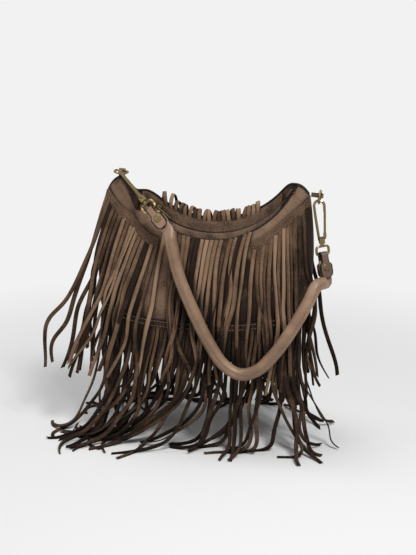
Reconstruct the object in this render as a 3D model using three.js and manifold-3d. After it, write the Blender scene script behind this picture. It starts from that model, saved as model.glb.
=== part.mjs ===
// Fringed suede shoulder bag.
// A soft body of suede panels stands on its own long fringe. Two tiers of slit suede hang from stitched
// headers, front and back. A zip runs along a dip between two ears, and a rolled leather handle clips to
// a metal ring at each ear.
// Millimetres, +Z up. +X runs from the left ear to the right ear, and -Y is the front of the bag.

import * as THREE from 'three';
import Module from 'manifold-3d';
import { mergeVertices } from 'three/addons/utils/BufferGeometryUtils.js';

const wasm = await Module();
wasm.setup();

// Clearances
const touchGap = 0.3;
const seamGap = 0.3;
const strandGap = 1.8;

// Zip line: a circular dip between the ears
const zipArcRadius = 115;
const zipCentreX = 6;
const zipLowHeight = 269.4;
const zipLeftAngle = -45;
const zipRightAngle = 54;
const toothRowWidth = 2.4;
const toothRowHeight = 1.8;
const toothPitch = 10;
const toothNotch = 0.7;

// Top outline: the front edge lies below the zip, the back edge above it, and both rise to the ears
const frontEdgeDrop = 5;
const backEdgeRise = 16;
const leftEarX = -112;
const leftEarHeight = 337;
const rightEarX = 110;
const rightEarHeight = 335;
const leftNotchHeight = 303;
const leftEarOuterFall = 0.06;
const rightEarOuterFall = 0.04;
const leftEarInnerFall = 0.1;
const rightEarInnerFall = 0.0015;
const earBlend = 9;
const notchBlend = 22;

// Leathers that the ears are sewn from
const suedeThickness = 2;
const loopLeather = 1.4;

// Body form: half widths, centres, half depths and heights of the four rows that shape each panel
const topHalfWidth = 130;
const shoulderHalfWidth = 143;
const bellyHalfWidth = 150;
const baseHalfWidth = 84;
const topCentreX = -1;
const shoulderCentreX = -3;
const bellyCentreX = -8;
const baseCentreX = -8;
const frontMouthDepth = 18;
const backMouthDepth = 16;
const earHalfDepth = suedeThickness + loopLeather + 2 * touchGap;
const earPinchStart = 0.66;
const earPinchEnd = 0.88;
const shoulderDepth = 58;
const bellyDepth = 66;
const baseDepth = 36;
const shoulderHeight = 226;
const shoulderFollow = 0.45;
const bellyHeight = 128;
const baseHeight = 112;
const planPower = 2.4;
const earPlanPower = 8;

// Leather thicknesses
const stripThickness = 1.6;
const basePanelThickness = 3;
const basePanelOverhang = 1.5;

// Fringe: slit strips of suede on stitched headers
const strandWidth = 5.4;
const strandThickness = 1.4;
const headerHeight = 12;
const upperStrandPitch = strandWidth + strandGap;
const lowerStrandPitch = 7.9;
const fringeEndAcross = 0.965;
const centreFringeHalf = 0.47;
const upperRootHeight = 262;
const upperRootFlatHalf = 64;
const upperRootSlope = 0.98;
const upperRootCentreX = 2;
const upperRootBlend = 14;
const backRootDrop = 3;
const backArch = 8;
const lowerRootHeight = 166;
const lowerRootRise = 18;
const upperHeaderOffset = 0.9;
const lowerHeaderOffset = 0.6;
const upperRootOut = 2.2;
const upperMiddleOut = 3;
const upperLeaveOut = 3.9;
const upperKneeOut = 1.6;
const upperTipOut = 5;
const upperStrandEnd = 86;
const upperEndVariation = 7;
const lowerReach = 50;
const lowerBendHeight = 86;
const lowerBendOut = 2;
const lowerKneeHeight = 36;
const lowerKneeShare = 0.42;
const sweepLeft = 24;
const sweepStart = 90;
const strayReach = 42;
const strayIndex = 3;

// Handle fixing points, on the line that the handle swings about
const leftPivotIn = 2;
const leftPivotRise = 8;
const rightPivotOut = 31;
const rightPivotDrop = 13;
const rightPivotForward = 8;
const leftPivot = new THREE.Vector3(leftEarX + leftPivotIn, 0, leftEarHeight + leftPivotRise);
const rightPivot = new THREE.Vector3(
  rightEarX + rightPivotOut,
  -rightPivotForward,
  rightEarHeight - rightPivotDrop,
);

// Ear rings
const ringWire = 2.8;
const leftRingWidth = 17;
const leftRingCorner = 4;
const leftRingDip = 4;
const rightRingRadius = 8;
const leftLoopWidth = 7.6;
const rightLoopWidth = 5;
const leftLoopDepth = 17;
const rightLoopDepth = 11.6;

// Snap hooks
const hookWire = 3.8;
const hookBowRadius = 6.3;
const bowClearance = 0.4;
const leftBowEase = 0.6;
const hookLength = 50;
const hookNoseLength = 9;
const barrelLength = 7;
const barrelRadius = 4;
const postRadius = 1.5;
const postHeadRadius = 2.3;
const postHeadHeight = 1.2;
const gateWidth = 3;
const gatePinRadius = 0.8;
const gatePinLength = 6;
const gateLugThickness = 2;
const gateCheek = 1.2;
const gateBlockWidth = 3.4;
const gateBlockHeight = 5.4;
const gateSlotReach = 8;
const gateSlotHeight = 6.4;
const eyeWire = 3.2;
const eyeWidth = 17;
const eyeHeight = 11;
const eyeCorner = 3.4;
const eyeNeck = 3.4;

// Handle
const strapRadius = 8;
const strapFlatHalfThickness = 2.5;
const strapFlatHalfWidth = 7.4;
const strapEndInset = 6;
const strapStraight = 4;
const strapSwellLength = 16;
const tabLeather = 2.2;
const tabClearance = 0.35;
const tabWidth = 17;
const tabNeckWidth = 9.6;
const tabNeckLength = 8;
const tabLength = 29;
const rivetFromLoop = 15;
const rivetHeadRadius = 5;
const rivetHeadHeight = 1.6;
const rivetShankRadius = 1.8;

// Zip slider and its pull
const sliderAngle = -39;
const sliderLength = 13;
const sliderHalfWidth = 5;
const sliderPlate = 1.6;
const sliderLift = 0.5;
const sliderLugHalf = 0.8;
const sliderLugRadius = 3.2;
const pullBarRadius = 1.1;
const pullBarClearance = 0.4;
const pullLength = 20;
const pullWidth = 7;
const pullThickness = 1.6;

const FRONT = -1;
const BACK = 1;
const UP = new THREE.Vector3(0, 0, 1);

const suede = { color: 0x6b5547, roughness: 0.95, metalness: 0 };
const darkSuede = { color: 0x56433a, roughness: 0.95, metalness: 0 };
const handleLeather = { color: 0x9d846d, roughness: 0.6, metalness: 0 };
const antiqueBrass = { color: 0x8a7a58, roughness: 0.35, metalness: 1 };

// Basic helpers

function mix(a, b, t) {
  return a + (b - a) * t;
}

function clamp(value, low, high) {
  return Math.min(high, Math.max(low, value));
}

function smoothMin(a, b, width) {
  const share = clamp(0.5 + (0.5 * (b - a)) / width, 0, 1);
  return mix(b, a, share) - width * share * (1 - share);
}

function softRamp(value, width) {
  return width * Math.log1p(Math.exp(value / width));
}

function along(origin, ...moves) {
  const point = origin.clone();
  for (const [direction, distance] of moves) {
    point.addScaledVector(direction, distance);
  }
  return point;
}

// A closed geometry from corner points and triangles, turned so that its faces point outwards
function closedGeometry(points, triangles) {
  let volume = 0;
  for (const [a, b, c] of triangles) {
    volume += points[a].dot(new THREE.Vector3().crossVectors(points[b], points[c]));
  }
  const geometry = new THREE.BufferGeometry();
  const positions = points.flatMap((point) => [point.x, point.y, point.z]);
  const index = triangles.flatMap(([a, b, c]) => (volume < 0 ? [a, c, b] : [a, b, c]));
  geometry.setAttribute('position', new THREE.Float32BufferAttribute(positions, 3));
  geometry.setIndex(index);
  geometry.computeVertexNormals();
  return geometry;
}

function quad(triangles, a, b, c, d) {
  triangles.push([a, b, c], [a, c, d]);
}

// A sheet with thickness between two skins, each a list of rows of points
function slabGeometry(outerRows, innerRows) {
  const rowCount = outerRows.length;
  const columnCount = outerRows[0].length;
  const points = [...outerRows.flat(), ...innerRows.flat()];
  const outer = (row, column) => row * columnCount + column;
  const inner = (row, column) => rowCount * columnCount + outer(row, column);
  const triangles = [];
  for (let row = 0; row + 1 < rowCount; row += 1) {
    for (let column = 0; column + 1 < columnCount; column += 1) {
      quad(triangles, outer(row, column), outer(row + 1, column), outer(row + 1, column + 1), outer(row, column + 1));
      quad(triangles, inner(row, column), inner(row, column + 1), inner(row + 1, column + 1), inner(row + 1, column));
    }
    const last = columnCount - 1;
    quad(triangles, outer(row, 0), inner(row, 0), inner(row + 1, 0), outer(row + 1, 0));
    quad(triangles, outer(row, last), outer(row + 1, last), inner(row + 1, last), inner(row, last));
  }
  for (let column = 0; column + 1 < columnCount; column += 1) {
    const last = rowCount - 1;
    quad(triangles, outer(0, column), outer(0, column + 1), inner(0, column + 1), inner(0, column));
    quad(triangles, outer(last, column), inner(last, column), inner(last, column + 1), outer(last, column + 1));
  }
  return closedGeometry(points, triangles);
}

// A tube through oval rings of points. A looped tube joins its last ring to its first.
function tubeGeometry(rings, looped) {
  const sides = rings[0].length;
  const points = rings.flat();
  const triangles = [];
  const ringPairs = looped ? rings.length : rings.length - 1;
  for (let ring = 0; ring < ringPairs; ring += 1) {
    const next = (ring + 1) % rings.length;
    for (let side = 0; side < sides; side += 1) {
      const turn = (side + 1) % sides;
      quad(triangles, ring * sides + side, ring * sides + turn, next * sides + turn, next * sides + side);
    }
  }
  if (!looped) {
    const last = (rings.length - 1) * sides;
    for (let side = 1; side + 1 < sides; side += 1) {
      triangles.push([0, side + 1, side]);
      triangles.push([last, last + side, last + side + 1]);
    }
  }
  return closedGeometry(points, triangles);
}

function ovalRing(centre, wide, thin, halfWidth, halfThickness, sides) {
  const ring = [];
  for (let side = 0; side < sides; side += 1) {
    const angle = (2 * Math.PI * (side + 0.5)) / sides;
    ring.push(along(centre, [wide, halfWidth * Math.cos(angle)], [thin, halfThickness * Math.sin(angle)]));
  }
  return ring;
}

// Round wire along a path that lies in one plane
function wireGeometry(path, planeNormal, radius, sides, looped) {
  const rings = path.map((point, index) => {
    const before = looped ? path[(index + path.length - 1) % path.length] : path[Math.max(index - 1, 0)];
    const after = looped ? path[(index + 1) % path.length] : path[Math.min(index + 1, path.length - 1)];
    const tangent = after.clone().sub(before).normalize();
    const across = new THREE.Vector3().crossVectors(planeNormal, tangent).normalize();
    return ovalRing(point, across, planeNormal, radius, radius, sides);
  });
  return tubeGeometry(rings, looped);
}

// Points on an arc in a plane given by two directions. Angles are in degrees from the first direction.
function arcPoints(centre, first, second, radius, fromAngle, toAngle, steps) {
  const points = [];
  for (let step = 0; step <= steps; step += 1) {
    const angle = THREE.MathUtils.degToRad(mix(fromAngle, toAngle, step / steps));
    points.push(along(centre, [first, radius * Math.cos(angle)], [second, radius * Math.sin(angle)]));
  }
  return points;
}

function toManifold(geometry) {
  const bare = geometry.clone();
  bare.deleteAttribute('normal');
  bare.deleteAttribute('uv');
  const merged = mergeVertices(bare, 1e-4);
  return new wasm.Manifold(new wasm.Mesh({
    numProp: 3,
    vertProperties: new Float32Array(merged.attributes.position.array),
    triVerts: new Uint32Array(merged.index.array),
  }));
}

// The main body of a cut solid, without the slivers that a cut can leave
function fromManifold(solid) {
  const bodies = solid.decompose().sort((a, b) => b.volume() - a.volume());
  const mesh = bodies[0].getMesh();
  const geometry = new THREE.BufferGeometry();
  geometry.setAttribute('position', new THREE.BufferAttribute(new Float32Array(mesh.vertProperties), 3));
  geometry.setIndex(new THREE.BufferAttribute(new Uint32Array(mesh.triVerts), 1));
  geometry.computeVertexNormals();
  return geometry;
}

// A cylinder from one point to another
function rodGeometry(from, to, radius, sides) {
  const axis = to.clone().sub(from);
  const geometry = new THREE.CylinderGeometry(radius, radius, axis.length(), sides);
  const turn = new THREE.Quaternion().setFromUnitVectors(new THREE.Vector3(0, 1, 0), axis.clone().normalize());
  geometry.applyQuaternion(turn);
  const middle = along(from, [axis, 0.5]);
  geometry.translate(middle.x, middle.y, middle.z);
  return geometry;
}

// A prism on a flat outline, which may be concave, reaching the same distance to both sides of it
function prismGeometry(outline, normal, reach) {
  const first = outline[1].clone().sub(outline[0]).normalize();
  const second = new THREE.Vector3().crossVectors(normal, first).normalize();
  const flat = outline.map((point) => {
    const offset = point.clone().sub(outline[0]);
    return new THREE.Vector2(offset.dot(first), offset.dot(second));
  });
  const geometry = new THREE.ExtrudeGeometry(new THREE.Shape(flat), { depth: 2 * reach, bevelEnabled: false });
  const basis = new THREE.Matrix4().makeBasis(first, second, normal);
  geometry.applyMatrix4(basis.setPosition(along(outline[0], [normal, -reach])));
  return geometry;
}

// A block given by its centre, three unit directions and three full sizes
function blockGeometry(centre, directions, sizes) {
  const geometry = new THREE.BoxGeometry(sizes[0], sizes[1], sizes[2]);
  geometry.applyMatrix4(new THREE.Matrix4().makeBasis(...directions).setPosition(centre));
  return geometry;
}

const bag = new THREE.Group();

function addPart(name, geometry, look) {
  const mesh = new THREE.Mesh(geometry, new THREE.MeshStandardMaterial(look));
  mesh.name = name;
  bag.add(mesh);
  return mesh;
}

// Outline of the bag

const zipCentreHeight = zipLowHeight + zipArcRadius;

function zipHeight(x) {
  const offset = Math.abs(x - zipCentreX);
  const limit = 0.96 * zipArcRadius;
  const inside = Math.min(offset, limit);
  const height = zipCentreHeight - Math.sqrt(zipArcRadius ** 2 - inside ** 2);
  return height + Math.max(0, offset - limit) * 4;
}

// The mouth's own line, level in the notch between the zip's left end and the left ear
function mouthHeight(x, shift) {
  const height = zipHeight(x) + shift;
  return x < zipCentreX ? smoothMin(height, leftNotchHeight + shift, earBlend) : height;
}

// The left ear is a narrow lobe with a steep inner edge. The right ear runs on from the mouth's line.
function outlineHeight(x, shift) {
  const mouth = mouthHeight(x, shift);
  if (x < zipCentreX) {
    const distance = x - leftEarX;
    const fall = (distance < 0 ? leftEarOuterFall : leftEarInnerFall) * distance ** 2;
    return distance < 0 ? leftEarHeight - fall : -smoothMin(-mouth, fall - leftEarHeight, notchBlend);
  }
  const distance = x - rightEarX;
  const fall = distance > 0 ? rightEarOuterFall : rightEarInnerFall;
  return smoothMin(mouth, rightEarHeight - fall * distance ** 2, earBlend);
}

function topEdgeHeight(side, x) {
  return outlineHeight(x, side === FRONT ? -frontEdgeDrop : backEdgeRise);
}

function ridgeHeight(x) {
  return outlineHeight(x, 0);
}

function mouthHalfDepth(side, across) {
  const mouth = side === FRONT ? frontMouthDepth : backMouthDepth;
  const pinch = THREE.MathUtils.smoothstep(Math.abs(across), earPinchStart, earPinchEnd);
  const opening = earHalfDepth + (mouth - earHalfDepth) * (1 - Math.abs(across) ** planPower) * (1 - pinch);
  return opening * Math.max(0, 1 - Math.abs(across) ** earPlanPower) ** (1 / earPlanPower);
}

function bezier(values, t) {
  const s = 1 - t;
  return s * s * s * values[0] + 3 * s * s * t * values[1] + 3 * s * t * t * values[2] + t * t * t * values[3];
}

// A point on the outside of a panel. across runs from -1 at the left seam to 1 at the right seam, and
// down from 0 at the top edge to 1 at the base.
function bodyPoint(side, across, down) {
  const round = Math.max(0, 1 - Math.abs(across) ** planPower) ** (1 / planPower);
  const topX = topCentreX + topHalfWidth * across;
  const topZ = topEdgeHeight(side, topX);
  const x = bezier([
    topX,
    shoulderCentreX + shoulderHalfWidth * across,
    bellyCentreX + bellyHalfWidth * across,
    baseCentreX + baseHalfWidth * across,
  ], down);
  const y = bezier([mouthHalfDepth(side, across), shoulderDepth * round, bellyDepth * round, baseDepth * round], down);
  const z = bezier([
    topZ,
    shoulderHeight + shoulderFollow * (topZ - zipLowHeight),
    bellyHeight,
    baseHeight,
  ], down);
  return new THREE.Vector3(x, side * Math.max(y, seamGap / 2), z);
}

const bodyHeart = new THREE.Vector3(bellyCentreX, 0, (zipLowHeight + baseHeight) / 2);

function bodyNormal(side, across, down) {
  const step = 0.004;
  const a = clamp(across, -0.99, 0.99);
  const d = clamp(down, step, 1 - step);
  const sideways = bodyPoint(side, a + step, d).sub(bodyPoint(side, a - step, d));
  const downwards = bodyPoint(side, a, d + step).sub(bodyPoint(side, a, d - step));
  const normal = sideways.cross(downwards).normalize();
  const outwards = bodyPoint(side, a, d).sub(bodyHeart);
  return normal.dot(outwards) < 0 ? normal.negate() : normal;
}

// A point at a distance outside a panel's surface, kept on its own side of the seam
function offsetPoint(side, across, down, offset) {
  const point = bodyPoint(side, across, down).addScaledVector(bodyNormal(side, across, down), offset);
  point.y = side * Math.max(side * point.y, seamGap / 2);
  return point;
}

// How far down a panel a given height lies
function downAtHeight(side, across, height) {
  let low = 0;
  let high = 1;
  for (let step = 0; step < 30; step += 1) {
    const middle = (low + high) / 2;
    if (bodyPoint(side, across, middle).z > height) {
      low = middle;
    } else {
      high = middle;
    }
  }
  return (low + high) / 2;
}

// Panels

const panelColumns = 28;
const panelRows = 9;

// Columns across a panel from seam to seam, closer together towards the seams
function acrossColumns(count, limit) {
  return Array.from({ length: count + 1 }, (_, i) => {
    const even = (2 * i) / count - 1;
    return (limit * (even + Math.sin((Math.PI / 2) * even))) / 2;
  });
}

function skinRows(side, columns, downs, offset) {
  return downs.map((down) => columns.map((across) => offsetPoint(side, across, down, offset)));
}

function evenSteps(count, from, to) {
  return Array.from({ length: count + 1 }, (_, i) => mix(from, to, i / count));
}

function panel(side) {
  const columns = acrossColumns(panelColumns, 1);
  const downs = evenSteps(panelRows, 0, 1);
  return slabGeometry(skinRows(side, columns, downs, 0), skinRows(side, columns, downs, -suedeThickness));
}

function basePanel() {
  const halfX = baseHalfWidth + basePanelOverhang;
  const halfY = baseDepth + basePanelOverhang;
  const outline = new THREE.Shape();
  const steps = 40;
  for (let step = 0; step < steps; step += 1) {
    const angle = (2 * Math.PI * step) / steps;
    const cosine = Math.cos(angle);
    const sine = Math.sin(angle);
    const x = baseCentreX + halfX * Math.sign(cosine) * Math.abs(cosine) ** (2 / planPower);
    const y = halfY * Math.sign(sine) * Math.abs(sine) ** (2 / planPower);
    if (step === 0) {
      outline.moveTo(x, y);
    } else {
      outline.lineTo(x, y);
    }
  }
  const geometry = new THREE.ExtrudeGeometry(outline, { depth: basePanelThickness, bevelEnabled: false });
  geometry.translate(0, 0, baseHeight - touchGap - basePanelThickness);
  return geometry;
}

addPart('front_panel', panel(FRONT), suede);
addPart('back_panel', panel(BACK), suede);
addPart('base_panel', basePanel(), darkSuede);

// Zip: two rows of teeth, a suede strip along each, a slider with a pull, and a tab over each end

const rowInner = seamGap / 2;
const rowOuter = rowInner + toothRowWidth;
const stripInner = rowOuter + touchGap;
const stripLeftX = -87;
const stripRightX = 93;

function zipStrip(side) {
  const columns = evenSteps(22, stripLeftX, stripRightX).map((x) => (x - topCentreX) / topHalfWidth);
  const stations = columns.map((across) => {
    const edge = offsetPoint(side, across, 0, -suedeThickness - 2 * touchGap);
    edge.y = side * Math.max(side * edge.y, stripInner + 1.6);
    const ridgeX = topCentreX + topHalfWidth * across;
    const ridge = new THREE.Vector3(ridgeX, side * stripInner, ridgeHeight(ridgeX));
    const flat = ridge.clone();
    flat.y = side * Math.min(sliderHalfWidth + 1, (stripInner + side * edge.y) / 2);
    return [ridge, flat, edge];
  });
  const upper = [0, 1, 2].map((place) => stations.map((station) => station[place]));
  const lower = upper.map((row) => row.map((point) => along(point, [UP, -stripThickness])));
  return slabGeometry(upper, lower);
}

// A point on the zip's arc: its angle from the lowest point, its place across and its radius
function zipPoint(angle, y, radius) {
  const turn = THREE.MathUtils.degToRad(angle);
  return new THREE.Vector3(
    zipCentreX + radius * Math.sin(turn),
    y,
    zipCentreHeight - radius * Math.cos(turn),
  );
}

// One row of teeth: a band whose upper skin steps up at each tooth
function toothRow(side) {
  const arcLength = THREE.MathUtils.degToRad(zipRightAngle - zipLeftAngle) * zipArcRadius;
  const teeth = Math.round(arcLength / toothPitch);
  const angles = [];
  const lead = side === FRONT ? 0 : 0.5;
  for (let tooth = 0; tooth < teeth; tooth += 1) {
    const share = (part) => (tooth + lead + part) / (teeth + 0.5);
    angles.push([share(0), 0], [share(0.5), 0], [share(0.56), toothNotch], [share(0.94), toothNotch]);
  }
  const topRadius = zipArcRadius - toothRowHeight / 2;
  const bottomRadius = zipArcRadius + toothRowHeight / 2;
  const row = (y, radiusOf) => angles.map(([share, notch]) => {
    return zipPoint(mix(zipLeftAngle, zipRightAngle, share), y, radiusOf(notch));
  });
  const upper = [rowInner, rowOuter].map((y) => row(side * y, (notch) => topRadius + notch));
  const lower = [rowInner, rowOuter].map((y) => row(side * y, () => bottomRadius));
  return slabGeometry(upper, lower);
}

// A body whose section, given as corners of [y, radius], runs along part of the zip's arc
function arcBar(corners, fromAngle, toAngle, steps) {
  const rings = evenSteps(steps, fromAngle, toAngle).map((angle) => {
    return corners.map(([y, radius]) => zipPoint(angle, y, radius));
  });
  return tubeGeometry(rings, false);
}

const sliderTopRadius = zipArcRadius - toothRowHeight / 2 - sliderLift - sliderPlate;
const pullPivotRadius = sliderTopRadius - sliderLugRadius + 0.6;
const sliderHalfAngle = THREE.MathUtils.radToDeg(sliderLength / 2 / zipArcRadius);

function zipSlider() {
  const plateUnder = sliderTopRadius + sliderPlate;
  const flangeFoot = zipArcRadius - 2 * touchGap;
  const flangeInside = rowOuter + touchGap;
  const span = [sliderAngle - sliderHalfAngle, sliderAngle + sliderHalfAngle, 4];
  const box = (y0, y1, r0, r1) => toManifold(arcBar([[y0, r0], [y1, r0], [y1, r1], [y0, r1]], ...span));
  const plate = box(-sliderHalfWidth, sliderHalfWidth, sliderTopRadius, plateUnder);
  const leftFlange = box(-sliderHalfWidth, -flangeInside, sliderTopRadius, flangeFoot);
  const rightFlange = box(flangeInside, sliderHalfWidth, sliderTopRadius, flangeFoot);
  const channel = plate.add(leftFlange).add(rightFlange);
  const pivot = zipPoint(sliderAngle, 0, pullPivotRadius);
  const sideStep = new THREE.Vector3(0, sliderLugHalf, 0);
  const lug = toManifold(rodGeometry(pivot.clone().sub(sideStep), pivot.clone().add(sideStep), sliderLugRadius, 16));
  const holeStep = new THREE.Vector3(0, sliderLugHalf * 2, 0);
  const holeRadius = pullBarRadius + pullBarClearance;
  const hole = toManifold(rodGeometry(pivot.clone().sub(holeStep), pivot.clone().add(holeStep), holeRadius, 16));
  return fromManifold(channel.add(lug).subtract(hole));
}

// The pull hangs from a bar through the slider's lug and lies along the zip, downhill
function zipPull() {
  const pivot = zipPoint(sliderAngle, 0, pullPivotRadius);
  const turn = THREE.MathUtils.degToRad(sliderAngle);
  const downhill = new THREE.Vector3(Math.cos(turn), 0, Math.sin(turn));
  const inwards = new THREE.Vector3(-Math.sin(turn), 0, Math.cos(turn));
  const sideways = new THREE.Vector3(0, 1, 0);
  const directions = [downhill, sideways, inwards];
  const cheekInside = sliderLugHalf + touchGap;
  const cheekThickness = pullWidth / 2 - cheekInside;
  const cheekLength = sliderLugRadius + touchGap + 1.2;
  const bar = rodGeometry(
    along(pivot, [sideways, -pullWidth / 2]),
    along(pivot, [sideways, pullWidth / 2]),
    pullBarRadius,
    12,
  );
  const tabCentre = along(pivot, [downhill, cheekLength + (pullLength - cheekLength) / 2]);
  let solid = toManifold(blockGeometry(tabCentre, directions, [pullLength - cheekLength, pullWidth, pullThickness]));
  for (const side of [-1, 1]) {
    const cheekCentre = along(pivot, [downhill, cheekLength / 2], [sideways, side * (cheekInside + cheekThickness / 2)]);
    const cheek = blockGeometry(cheekCentre, directions, [cheekLength + 0.4, cheekThickness, pullThickness]);
    solid = solid.add(toManifold(cheek));
  }
  return fromManifold(solid.add(toManifold(bar)));
}

// A folded suede tab over the end of the zip
function zipEndTab(fromAngle, toAngle) {
  const half = rowOuter;
  const top = zipArcRadius - toothRowHeight / 2;
  const bottom = zipArcRadius + toothRowHeight / 2;
  return arcBar([[-half, top], [0, top - 1.2], [half, top], [half, bottom], [-half, bottom]], fromAngle, toAngle, 3);
}

const endTabGap = THREE.MathUtils.radToDeg(touchGap / zipArcRadius);
const leftTabSpan = 8;
const rightTabSpan = 7;

addPart('zip_strip_front', zipStrip(FRONT), suede);
addPart('zip_strip_back', zipStrip(BACK), suede);
addPart('zip_teeth_front', toothRow(FRONT), antiqueBrass);
addPart('zip_teeth_back', toothRow(BACK), antiqueBrass);
addPart('zip_end_tab_left', zipEndTab(zipLeftAngle - endTabGap - leftTabSpan, zipLeftAngle - endTabGap), darkSuede);
addPart('zip_end_tab_right', zipEndTab(zipRightAngle + endTabGap, zipRightAngle + endTabGap + rightTabSpan), darkSuede);
addPart('zip_slider', zipSlider(), antiqueBrass);
addPart('zip_pull', zipPull(), antiqueBrass);

// Fringe

// A comb of suede: a header with strands below its slits. Each strand is a list of rows, each with an
// inner and an outer point at its left and right edge. Rows 0 and 1 are the header's top and bottom.
function combGeometry(strands) {
  const points = [];
  const triangles = [];
  const firstCorner = strands.map((rows) => {
    const first = points.length;
    for (const row of rows) {
      points.push(row.innerLeft, row.innerRight, row.outerLeft, row.outerRight);
    }
    return first;
  });
  const corner = (strand, row, place) => firstCorner[strand] + 4 * row + place;
  strands.forEach((rows, strand) => {
    const lastRow = rows.length - 1;
    for (let row = 0; row < lastRow; row += 1) {
      const at = (step, place) => corner(strand, row + step, place);
      quad(triangles, at(0, 2), at(1, 2), at(1, 3), at(0, 3));
      quad(triangles, at(0, 0), at(0, 1), at(1, 1), at(1, 0));
      if (row > 0 || strand === 0) {
        quad(triangles, at(0, 0), at(1, 0), at(1, 2), at(0, 2));
      }
      if (row > 0 || strand === strands.length - 1) {
        quad(triangles, at(0, 1), at(0, 3), at(1, 3), at(1, 1));
      }
    }
    const top = (place) => corner(strand, 0, place);
    const tip = (place) => corner(strand, lastRow, place);
    quad(triangles, top(0), top(2), top(3), top(1));
    quad(triangles, tip(0), tip(1), tip(3), tip(2));
    if (strand + 1 < strands.length) {
      const right = (row, place) => corner(strand, row, place);
      const left = (row, place) => corner(strand + 1, row, place);
      quad(triangles, right(0, 3), right(1, 3), left(1, 2), left(0, 2));
      quad(triangles, right(0, 1), left(0, 0), left(1, 0), right(1, 1));
      quad(triangles, right(0, 1), right(0, 3), left(0, 2), left(0, 0));
      quad(triangles, right(1, 1), left(1, 0), left(1, 2), right(1, 3));
    }
  });
  return closedGeometry(points, triangles);
}

// Height of the stitched line that the upper tier hangs from
function upperRoot(side, across) {
  const x = topCentreX + topHalfWidth * across;
  const rise = softRamp(Math.abs(x - upperRootCentreX) - upperRootFlatHalf, upperRootBlend);
  const frontLine = upperRootHeight + upperRootSlope * rise;
  const edge = topEdgeHeight(side, x) - backRootDrop;
  if (side === BACK) {
    return Math.min(edge, frontLine + backEdgeRise);
  }
  return Math.min(edge, frontLine);
}

function lowerRoot(side, across) {
  return lowerRootHeight + lowerRootRise * Math.abs(across) ** 3;
}

// Places of the strands across a panel, evenly spaced along the header's line
function strandPlaces(side, rootHeight, pitch) {
  const samples = 240;
  const line = evenSteps(samples, -fringeEndAcross, fringeEndAcross).map((across) => {
    return { across, point: bodyPoint(side, across, downAtHeight(side, across, rootHeight(side, across))) };
  });
  const lengths = [0];
  for (let i = 1; i <= samples; i += 1) {
    lengths.push(lengths[i - 1] + line[i].point.distanceTo(line[i - 1].point));
  }
  const total = lengths[samples];
  const count = Math.floor(total / pitch);
  const places = [];
  let sample = 1;
  for (let i = 0; i < count; i += 1) {
    const target = (total * (i + 0.5)) / count;
    while (lengths[sample] < target) {
      sample += 1;
    }
    const share = (target - lengths[sample - 1]) / (lengths[sample] - lengths[sample - 1]);
    places.push(mix(line[sample - 1].across, line[sample].across, share));
  }
  return places;
}

// Half a strand's width, as a step across the panel
function halfStrandAcross(side, across, down) {
  const step = 0.003;
  const span = bodyPoint(side, across + step, down).distanceTo(bodyPoint(side, across - step, down));
  return (strandWidth * step) / span;
}

function rowOnBody(side, leftAcross, rightAcross, leftDown, rightDown, offset) {
  return {
    innerLeft: offsetPoint(side, leftAcross, leftDown, offset),
    innerRight: offsetPoint(side, rightAcross, rightDown, offset),
    outerLeft: offsetPoint(side, leftAcross, leftDown, offset + strandThickness),
    outerRight: offsetPoint(side, rightAcross, rightDown, offset + strandThickness),
  };
}

// A row of a strand that hangs free: straight below a row on the body, moved out and to the left
function freeRow(above, height, outwards, sideShift) {
  const outerMiddle = above.outerLeft.clone().add(above.outerRight).multiplyScalar(0.5);
  const innerMiddle = above.innerLeft.clone().add(above.innerRight).multiplyScalar(0.5);
  const direction = outerMiddle.sub(innerMiddle).setZ(0).normalize();
  const widthways = new THREE.Vector3().crossVectors(UP, direction);
  const leftSign = Math.sign(above.innerLeft.clone().sub(above.innerRight).dot(widthways));
  const centre = innerMiddle.setZ(height).addScaledVector(direction, outwards);
  centre.x -= sideShift;
  const half = (leftSign * strandWidth) / 2;
  return {
    innerLeft: along(centre, [widthways, half]),
    innerRight: along(centre, [widthways, -half]),
    outerLeft: along(centre, [widthways, half], [direction, strandThickness]),
    outerRight: along(centre, [widthways, -half], [direction, strandThickness]),
  };
}

function headerRows(side, across, rootHeight, height, offset) {
  const root = rootHeight(side, across);
  const half = halfStrandAcross(side, across, downAtHeight(side, across, root - height / 2));
  const left = across - half;
  const right = across + half;
  return [0, height].map((drop) => rowOnBody(
    side,
    left,
    right,
    downAtHeight(side, left, rootHeight(side, left) - drop),
    downAtHeight(side, right, rootHeight(side, right) - drop),
    offset,
  ));
}

function upperStrand(side, across, index) {
  const root = upperRoot(side, across) - headerHeight;
  const rows = headerRows(side, across, upperRoot, headerHeight, upperHeaderOffset);
  const startDown = downAtHeight(side, across, root);
  const endDown = downAtHeight(side, across, lowerRoot(side, across));
  const arch = side === BACK ? backArch * Math.max(0, 1 - (across / 0.62) ** 2) : 0;
  const offsets = [[0.2, upperRootOut + arch], [0.55, upperMiddleOut + arch * 0.5], [1, upperLeaveOut]];
  for (const [share, offset] of offsets) {
    const down = mix(startDown, endDown, share);
    const half = halfStrandAcross(side, across, down);
    rows.push(rowOnBody(side, across - half, across + half, down, down, offset));
  }
  const lastOnBody = rows[rows.length - 1];
  const tip = upperStrandEnd + upperEndVariation * Math.sin(2.4 * index);
  rows.push(freeRow(lastOnBody, (lastOnBody.innerLeft.z + tip) / 2, upperKneeOut, 0));
  rows.push(freeRow(lastOnBody, tip, upperTipOut, 0));
  return rows;
}

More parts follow.
